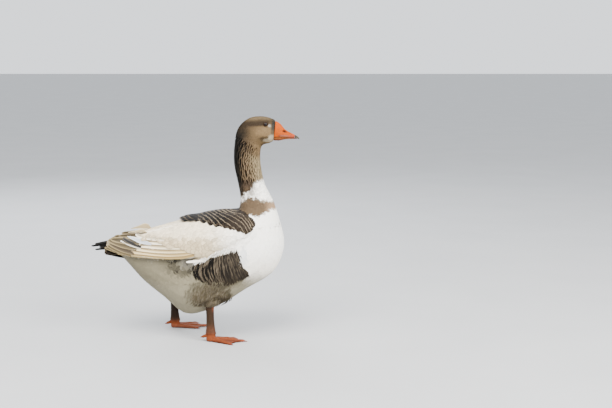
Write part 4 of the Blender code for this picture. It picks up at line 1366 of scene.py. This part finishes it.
# %% Tail
points, base, fringe = [], [], []
TAIL_FEATHERS = 14
for k in range(TAIL_FEATHERS):
    share = (k + 0.5) / TAIL_FEATHERS * 2 - 1
    outer = abs(share)
    root = (-0.172, share * 0.027, 0.2530 - 0.0310 * outer**2)
    tip = (-0.2575 + 0.004 * outer, share * 0.031, 0.2510 - 0.0045 * outer + 0.0010 * (k % 2))
    points.append(free_blade(root, tip, 17 * MM, -0.85 * share, bow=1.0 * MM, taper=-0.10, tip_round=0.10))
    base.append(np.tile(rgb("171310"), (len(along), 1)) * (1 + rng.normal(0, 0.06)))
    fringe.append(np.tile(rgb("4A3F31"), (len(along), 1)))
tail_vane = vane_material("tail_feather_keratin", 0.93, 0.97, barbs=0.12, shaft=0.3, edge=0.1, roughness=0.6)
blades("tail_feathers", "tail_plumage", tail_vane, points, base, fringe)

# %% [markdown]
# ## Bill
# A goose's bill is a deep wedge of bare skin over bone, with an open nostril in each side, a horny nail at
# the tip and fine plates along the gape. A remeshed copy of the solids keeps the outline, and the details
# are pressed in point by point. Its colours run from orange, with a painted highlight on top at the
# forehead, to a rusty line along the mouth, and the hollow of each nostril is painted nearly black as shade.

# %% Paint and horn
def soft_copy(names, voxel, rounds, swell=0.2 * MM):
    return remeshed(merged_copy(names, swell), voxel, rounds)


def spot(points, centre, radii, angle=0.0):
    """1 in the middle of a tilted oval in the side view, falling to 0 at its rim."""
    dx, dz = points[:, 0] - centre[0], points[:, 2] - centre[1]
    u = (dx * math.cos(angle) + dz * math.sin(angle)) / radii[0]
    v = (-dx * math.sin(angle) + dz * math.cos(angle)) / radii[1]
    return 1 - smooth(0.35, 1.0, np.hypot(u, v))


def painted(points, ground, *layers):
    """The ground colour at each point, with layers of (colour, share) painted over it, one after another."""
    values = np.tile(rgb(ground), (len(points), 1))
    for colour, share in layers:
        values = values * (1 - share[:, None]) + rgb(colour) * share[:, None]
    return values


def bare_piece(name, mesh, values, material, slot, *nodes):
    """Finishes a piece without feathers, which takes its colours from its tint attribute."""
    colour_attribute(mesh, "tint", values)
    finish_piece(name, mesh, material, slot, *nodes, sharp=0)


def horn_material(name, roughness, scale, bump, wrinkle=0.5):
    """Bare skin or horn, coloured by the tint attribute, mottled and pitted; scale is in cells to a metre."""
    made, tree, shader = new_material(name, roughness=roughness, ior=1.48, subsurface_weight=0.05,
                                      specular_ior_level=0.07)
    shader.inputs["Subsurface Radius"].default_value = (0.004, 0.0015, 0.0008)
    shader.inputs["Subsurface Scale"].default_value = 1.0
    colour = add_node(tree, "ShaderNodeAttribute", attribute_name="tint").outputs["Color"]
    coords = add_node(tree, "ShaderNodeTexCoord").outputs["Object"]
    cells = add_node(tree, "ShaderNodeTexVoronoi", {"Vector": coords, "Scale": scale})
    cloud = add_node(tree, "ShaderNodeTexNoise", {"Vector": coords, "Scale": scale * 0.35, "Detail": 5.0})
    tone = add_node(tree, "ShaderNodeMapRange",
                    {"Value": cloud.outputs["Fac"], "From Min": 0.3, "From Max": 0.7,
                     "To Min": 0.80, "To Max": 1.14}).outputs["Result"]
    cell = add_node(tree, "ShaderNodeMapRange", {"Value": cells.outputs["Distance"], "From Max": 0.8,
                                                 "To Min": 1.04, "To Max": 0.90}).outputs["Result"]
    both = add_node(tree, "ShaderNodeMath", {0: tone, 1: cell}, operation="MULTIPLY").outputs[0]
    final = add_node(tree, "ShaderNodeMix", {"Factor": 1.0, 6: colour, 7: both}, data_type="RGBA",
                     blend_type="MULTIPLY")
    relief = add_node(tree, "ShaderNodeMath", {0: cells.outputs["Distance"], 1: -wrinkle,
                                               2: cloud.outputs["Fac"]}, operation="MULTIPLY_ADD").outputs[0]
    pits = add_node(tree, "ShaderNodeBump", {"Height": relief, "Distance": bump, "Strength": 0.6})
    tree.links.new(final.outputs[2], shader.inputs["Base Color"])
    tree.links.new(pits.outputs["Normal"], shader.inputs["Normal"])
    return made


# %% Upper bill, lower bill and nail
NOSTRIL, LEAN = (0.2585, 0.5875), -0.30
mesh = soft_copy(["bill_upper"], 0.7 * MM, 8)
co, normal = read_verts(mesh)
x, z = co[:, 0], co[:, 2]
above = z - np.interp(x, [0.2277, 0.245, 0.270, 0.2865], [0.5725, 0.5735, 0.5715, 0.5690])  # the mouth line
on_side = smooth(0.002, 0.005, np.abs(co[:, 1]))
dent = spot(co, NOSTRIL, (0.0070, 0.0030), LEAN) * on_side
rim = np.clip(spot(co, NOSTRIL, (0.0100, 0.0052), LEAN) - dent, 0, 1) * on_side
plates = smooth(0.0045, 0.0015, above) * smooth(0.238, 0.246, x)
pressed = dent * 2.2 - rim * 0.35 + plates * (0.45 + 0.20 * np.sin(x * 4200))  # millimetres
co = co - normal * pressed[:, None] * MM
mesh.vertices.foreach_set("co", co.ravel())
x, z = co[:, 0], co[:, 2]
values = painted(
    co, "984000",
    # a painted highlight on top of the bill near the forehead
    ("A04200", smooth(0.250, 0.236, x) * smooth(0.590, 0.606, z)),
    ("8B3A06", smooth(0.592, 0.578, z) * 0.8),
    ("A03E12", smooth(0.272, 0.284, x) * 0.55),
    ("4E2317", smooth(0.0060, 0.0030, above) * smooth(0.236, 0.246, x) * 0.75),
    ("86533E", plates * smooth(0.240, 0.250, x) * smooth(0.285, 0.272, x) * 0.55),
    ("9A6A5A", smooth(0.0012, 0.0004, np.abs(above - 0.0042)) * smooth(0.243, 0.250, x)
     * smooth(0.272, 0.266, x) * 0.5),
    ("8A3826", blob(co, (0.2775, 0.5745), (0.0085, 0.0042)) * 0.7),
    ("3C3029", smooth(0.2322, 0.2298, x) * smooth(0.580, 0.590, z) * smooth(0.612, 0.604, z) * 0.75),
    ("5F1E06", rim * 0.8),
    # the nostril's hollow painted nearly black, as painted shade inside it
    ("230903", dent))
# A goose's bill has a thin waxy skin: its gloss is soft, and light goes in a little before it comes back.
bill_skin = horn_material("waxy_bill_skin", 0.45, 900.0, 0.15 * MM)
bare_piece("upper_bill", mesh, values, bill_skin, "bill", "bill_upper")

mesh = soft_copy(["bill_lower"], 0.7 * MM, 6, swell=0.1 * MM)
x, _, z = read_verts(mesh)[0].T
values = painted(x, "7C4520", ("5E2E18", smooth(0.5700, 0.5640, z) * 0.6),
                 ("8B431A", smooth(0.262, 0.285, x) * 0.6))
bare_piece("lower_bill", mesh, values, bill_skin, "bill", "bill_lower")

# The nail is hard horn, rubbed smooth by grazing, so it is darker and glossier than the skin round it.
mesh = soft_copy(["bill_nail"], 0.4 * MM, 5, swell=0.15 * MM)
x = read_verts(mesh)[0][:, 0]
values = painted(x, "3E372E", ("2A2520", smooth(0.2925, 0.2885, x) * 0.6),
                 ("4E473C", smooth(0.294, 0.299, x) * 0.6))
bare_piece("nail", mesh, values, horn_material("polished_nail_horn", 0.35, 1500.0, 0.05 * MM), "nail",
           "bill_nail")
print("bill ready")

# %% [markdown]
# ## Eyes
# The eye is a dark brown ball sunk in its lids, of which only a disc of about nine millimetres shows. The
# wet cornea gives the sharp highlight that makes an animal look alive, so iris and pupil share one very
# smooth surface.

# %% Eyeballs and lids
EYE_RADIUS, LID_RADIUS = 0.0066, 0.00115
for side, label in ((1, "left"), (-1, "right")):
    centre = np.array([EYE_PLACE[0], side * EYE_PLACE[1], EYE_PLACE[2]])
    outward = unit(np.array([0.16, side * 1.0, 0.05]))
    form = bmesh.new()
    bmesh.ops.create_uvsphere(form, u_segments=40, v_segments=28, radius=EYE_RADIUS * 0.97)
    turn_to = Vector(outward).to_track_quat("Z", "Y").to_matrix()
    bmesh.ops.rotate(form, verts=form.verts, cent=(0, 0, 0), matrix=turn_to)
    bmesh.ops.translate(form, verts=form.verts, vec=Vector(centre))
    mesh = mesh_from(form)
    off = np.degrees(np.arccos(np.clip(unit(read_verts(mesh)[0] - centre) @ outward, -1, 1)))
    values = painted(off, "120B06", ("1C0E05", smooth(52, 44, off)), ("050404", smooth(31, 26, off)))
    wet_cornea, tree, shader = new_material("wet_eye_" + label, roughness=0.06, ior=1.38,
                                            specular_ior_level=0.30)
    shade = add_node(tree, "ShaderNodeAttribute", attribute_name="tint").outputs["Color"]
    coords = add_node(tree, "ShaderNodeTexCoord").outputs["Object"]
    fleck = add_node(tree, "ShaderNodeTexNoise", {"Vector": coords, "Scale": 1600.0, "Detail": 2.0})
    amount = add_node(tree, "ShaderNodeMapRange",
                      {"Value": fleck.outputs["Fac"], "To Min": 0.7, "To Max": 1.3})
    flecked = add_node(tree, "ShaderNodeMix", {"Factor": 1.0, 6: shade, 7: amount.outputs["Result"]},
                       data_type="RGBA", blend_type="MULTIPLY")
    tree.links.new(flecked.outputs[2], shader.inputs["Base Color"])
    bare_piece("eyeball_" + label, mesh, values, wet_cornea, "eye", f"eye_{label}")

    form = bmesh.new()
    bmesh.ops.create_circle(form, segments=10, radius=LID_RADIUS)
    bmesh.ops.translate(form, verts=form.verts, vec=(EYE_RADIUS * 0.86, 0, 0))
    bmesh.ops.rotate(form, verts=form.verts, cent=(EYE_RADIUS * 0.86, 0, 0),
                     matrix=Vector((0, 1, 0)).to_track_quat("Z", "Y").to_matrix())
    bmesh.ops.spin(form, geom=form.verts[:] + form.edges[:], cent=(0, 0, 0), axis=(0, 0, 1), angle=math.tau,
                   steps=40, use_merge=True)
    bmesh.ops.recalc_face_normals(form, faces=form.faces)
    for vert in form.verts:
        around = math.atan2(vert.co.y, vert.co.x)
        vert.co.z += 0.00025 * math.sin(around * 9)
        vert.co.y *= 0.94
        vert.co.x *= 1.04
    bmesh.ops.rotate(form, verts=form.verts, cent=(0, 0, 0), matrix=turn_to)
    bmesh.ops.translate(form, verts=form.verts, vec=Vector(centre + outward * EYE_RADIUS * 0.46))
    mesh = mesh_from(form)
    lid_skin = horn_material("lid_skin_" + label, 0.55, 1600.0, 0.1 * MM)
    bare_piece("lids_" + label, mesh, painted(mesh.vertices, "2B1E14"), lid_skin, "head_plumage")
print("eyes ready")

# %% [markdown]
# ## Legs, webs and claws
# The bare leg is covered with small plates: a row of broad scutes down the front of the shank and along the
# top of each toe, and fine net-like scales elsewhere, also on the webs. Copies of the solids are joined
# with a fuller web into one skin, and the scutes are pressed into it as shallow steps.

# %% Leg forms
FLAT = np.array([1, 1, 0])  # keeps x and y only
WEB_THICKNESS = 0.0026


def leg_form(label):
    """Shank, foot, hind toe and a fuller web in one skin, the ball of the foot and the ends of the toes."""
    low, high = (np.array(v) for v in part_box(f"shank_{label}"))
    ball = np.array([(low[0] + high[0]) / 2, (low[1] + high[1]) / 2, 0.006])
    ends = {}
    for toe in ("inner", "middle", "outer"):
        tip_low, tip_high = (np.array(v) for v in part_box(f"claw_{label}_{toe}"))
        ends[toe] = ball + ((tip_low + tip_high) / 2 - ball) * FLAT * 0.98 + [0, 0, -0.0035]
    web_rim = [ball + [-0.004, 0, -0.002]]
    for a, b in (("inner", "middle"), ("middle", "outer")):
        for t in np.linspace(0, 1, 9)[:-1]:
            edge = ends[a] * (1 - t) + ends[b] * t
            web_rim.append(edge + (ball - edge) * (0.42 * t * (1 - t)) * FLAT)  # hollow between two toes
    web_rim.append(ends["outer"])
    web = bmesh.new()
    web_face = web.faces.new([web.verts.new(p) for p in web_rim])
    made = bmesh.ops.extrude_face_region(web, geom=[web_face])["geom"]
    bmesh.ops.translate(web, verts=[g for g in made if isinstance(g, bmesh.types.BMVert)],
                        vec=(0, 0, WEB_THICKNESS))
    bmesh.ops.triangulate(web, faces=web.faces)
    bmesh.ops.recalc_face_normals(web, faces=web.faces)
    form = bmesh.new()
    form.from_mesh(merged_copy([f"shank_{label}", f"foot_{label}", f"hind_toe_{label}"], 0.25 * MM))
    form.from_mesh(mesh_from(web))
    return remeshed(mesh_from(form), 1.0 * MM, 5), ball, ends


# %% Scutes, folds and colours of the legs
SCUTE, TOE_SCUTE = 5.2 * MM, 4.2 * MM
# The leg's skin is dry and horny: a broad dull gloss, and net-like cells of about one and a half millimetres.
leg_hide = horn_material("scaly_leg_skin", 0.55, 620.0, 0.35 * MM, wrinkle=1.4)
for label in ("left", "right"):
    mesh, ball, ends = leg_form(label)
    co, normal = read_verts(mesh)
    forward = unit((ends["middle"] - ball) * FLAT)
    facing = (normal * forward).sum(1)
    out = co - ball
    ahead = out @ forward
    on_shank = smooth(0.018, 0.026, co[:, 2])
    on_foot = 1 - on_shank
    off_floor = smooth(0.001, 0.004, co[:, 2])
    toe_gap, toe_along = np.full(len(co), 1.0), np.zeros(len(co))
    for end in ends.values():
        ray = end - ball
        share = np.clip((out * FLAT) @ ray / (ray @ ray), 0, 1)
        gap = np.linalg.norm((out - share[:, None] * ray) * FLAT, axis=1)
        toe_along = np.where(gap < toe_gap, share * np.linalg.norm(ray), toe_along)
        toe_gap = np.minimum(gap, toe_gap)
    on_toe = smooth(0.0060, 0.0035, toe_gap)
    groove = smooth(0.16, 0.02, np.abs((co[:, 2] / SCUTE % 1) - 0.15)) * on_shank * smooth(0.25, 0.75, facing)
    groove += (smooth(0.18, 0.03, np.abs(toe_along / TOE_SCUTE % 1 - 0.2)) * smooth(0.35, 0.8, normal[:, 2])
               * on_foot * on_toe)
    fold = np.sin(toe_gap * 1900) * (1 - on_toe) * off_floor * on_foot
    fuller = 1.9 * on_shank + (0.3 + 1.1 * on_toe) * on_foot * off_floor
    co = co - normal * (groove * 0.42 + fold * 0.12 - fuller)[:, None] * MM
    co[:, 2] = np.maximum(co[:, 2], 0.0002)
    mesh.vertices.foreach_set("co", co.ravel())
    height = co[:, 2]
    further_back = 1.0 if label == "left" else 0.0  # the left leg is in shade and muddier
    values = painted(
        co, "74391F",
        ("5A2C1B", (1 - on_toe) * on_foot * smooth(0.012, 0.025, ahead) * 0.8),
        ("452D20", smooth(0.013, 0.030, height) * 0.90),
        # the upper shank darker, partly dirt and partly painted shade under the belly
        ("2D2218", smooth(0.032, 0.056, height) * 0.9),
        ("7A3E26", smooth(0.35, 0.85, facing) * smooth(0.080, 0.095, height) * 0.7),
        ("84422E", smooth(0.060, 0.092, ahead) * on_toe * 0.8),
        ("371A11", smooth(0.006, 0.002, height) * smooth(0.090, 0.030, ahead) * 0.7),
        ("8E5C48", smooth(0.014, 0.008, height) * 0.30 * further_back),
        ("281E18", smooth(0.018, 0.036, height) * 0.9 * further_back),
        ("301810", np.clip(groove, 0, 1) * 0.55))
    bare_piece("leg_" + label, mesh, values, leg_hide, "leg_skin", f"shank_{label}", f"foot_{label}",
               f"hind_toe_{label}")

# %% [markdown]
# ## Claws
# Each toe ends in a short blunt claw. The solids already have its shape, so softened copies of them are
# enough, all in one piece.

# %% Claws
claw_names = [f"claw_{label}_{toe}" for label in ("left", "right")
              for toe in ("inner", "middle", "outer", "hind")]
# Claws are horn worn dull by walking.
mesh = soft_copy(claw_names, 0.45 * MM, 3, swell=0.1 * MM)
claw_horn = horn_material("worn_claw_horn", 0.4, 1500.0, 0.05 * MM)
bare_piece("claws", mesh, painted(mesh.vertices, "7A3A2A"), claw_horn, "claw", *claw_names)
print("legs ready")
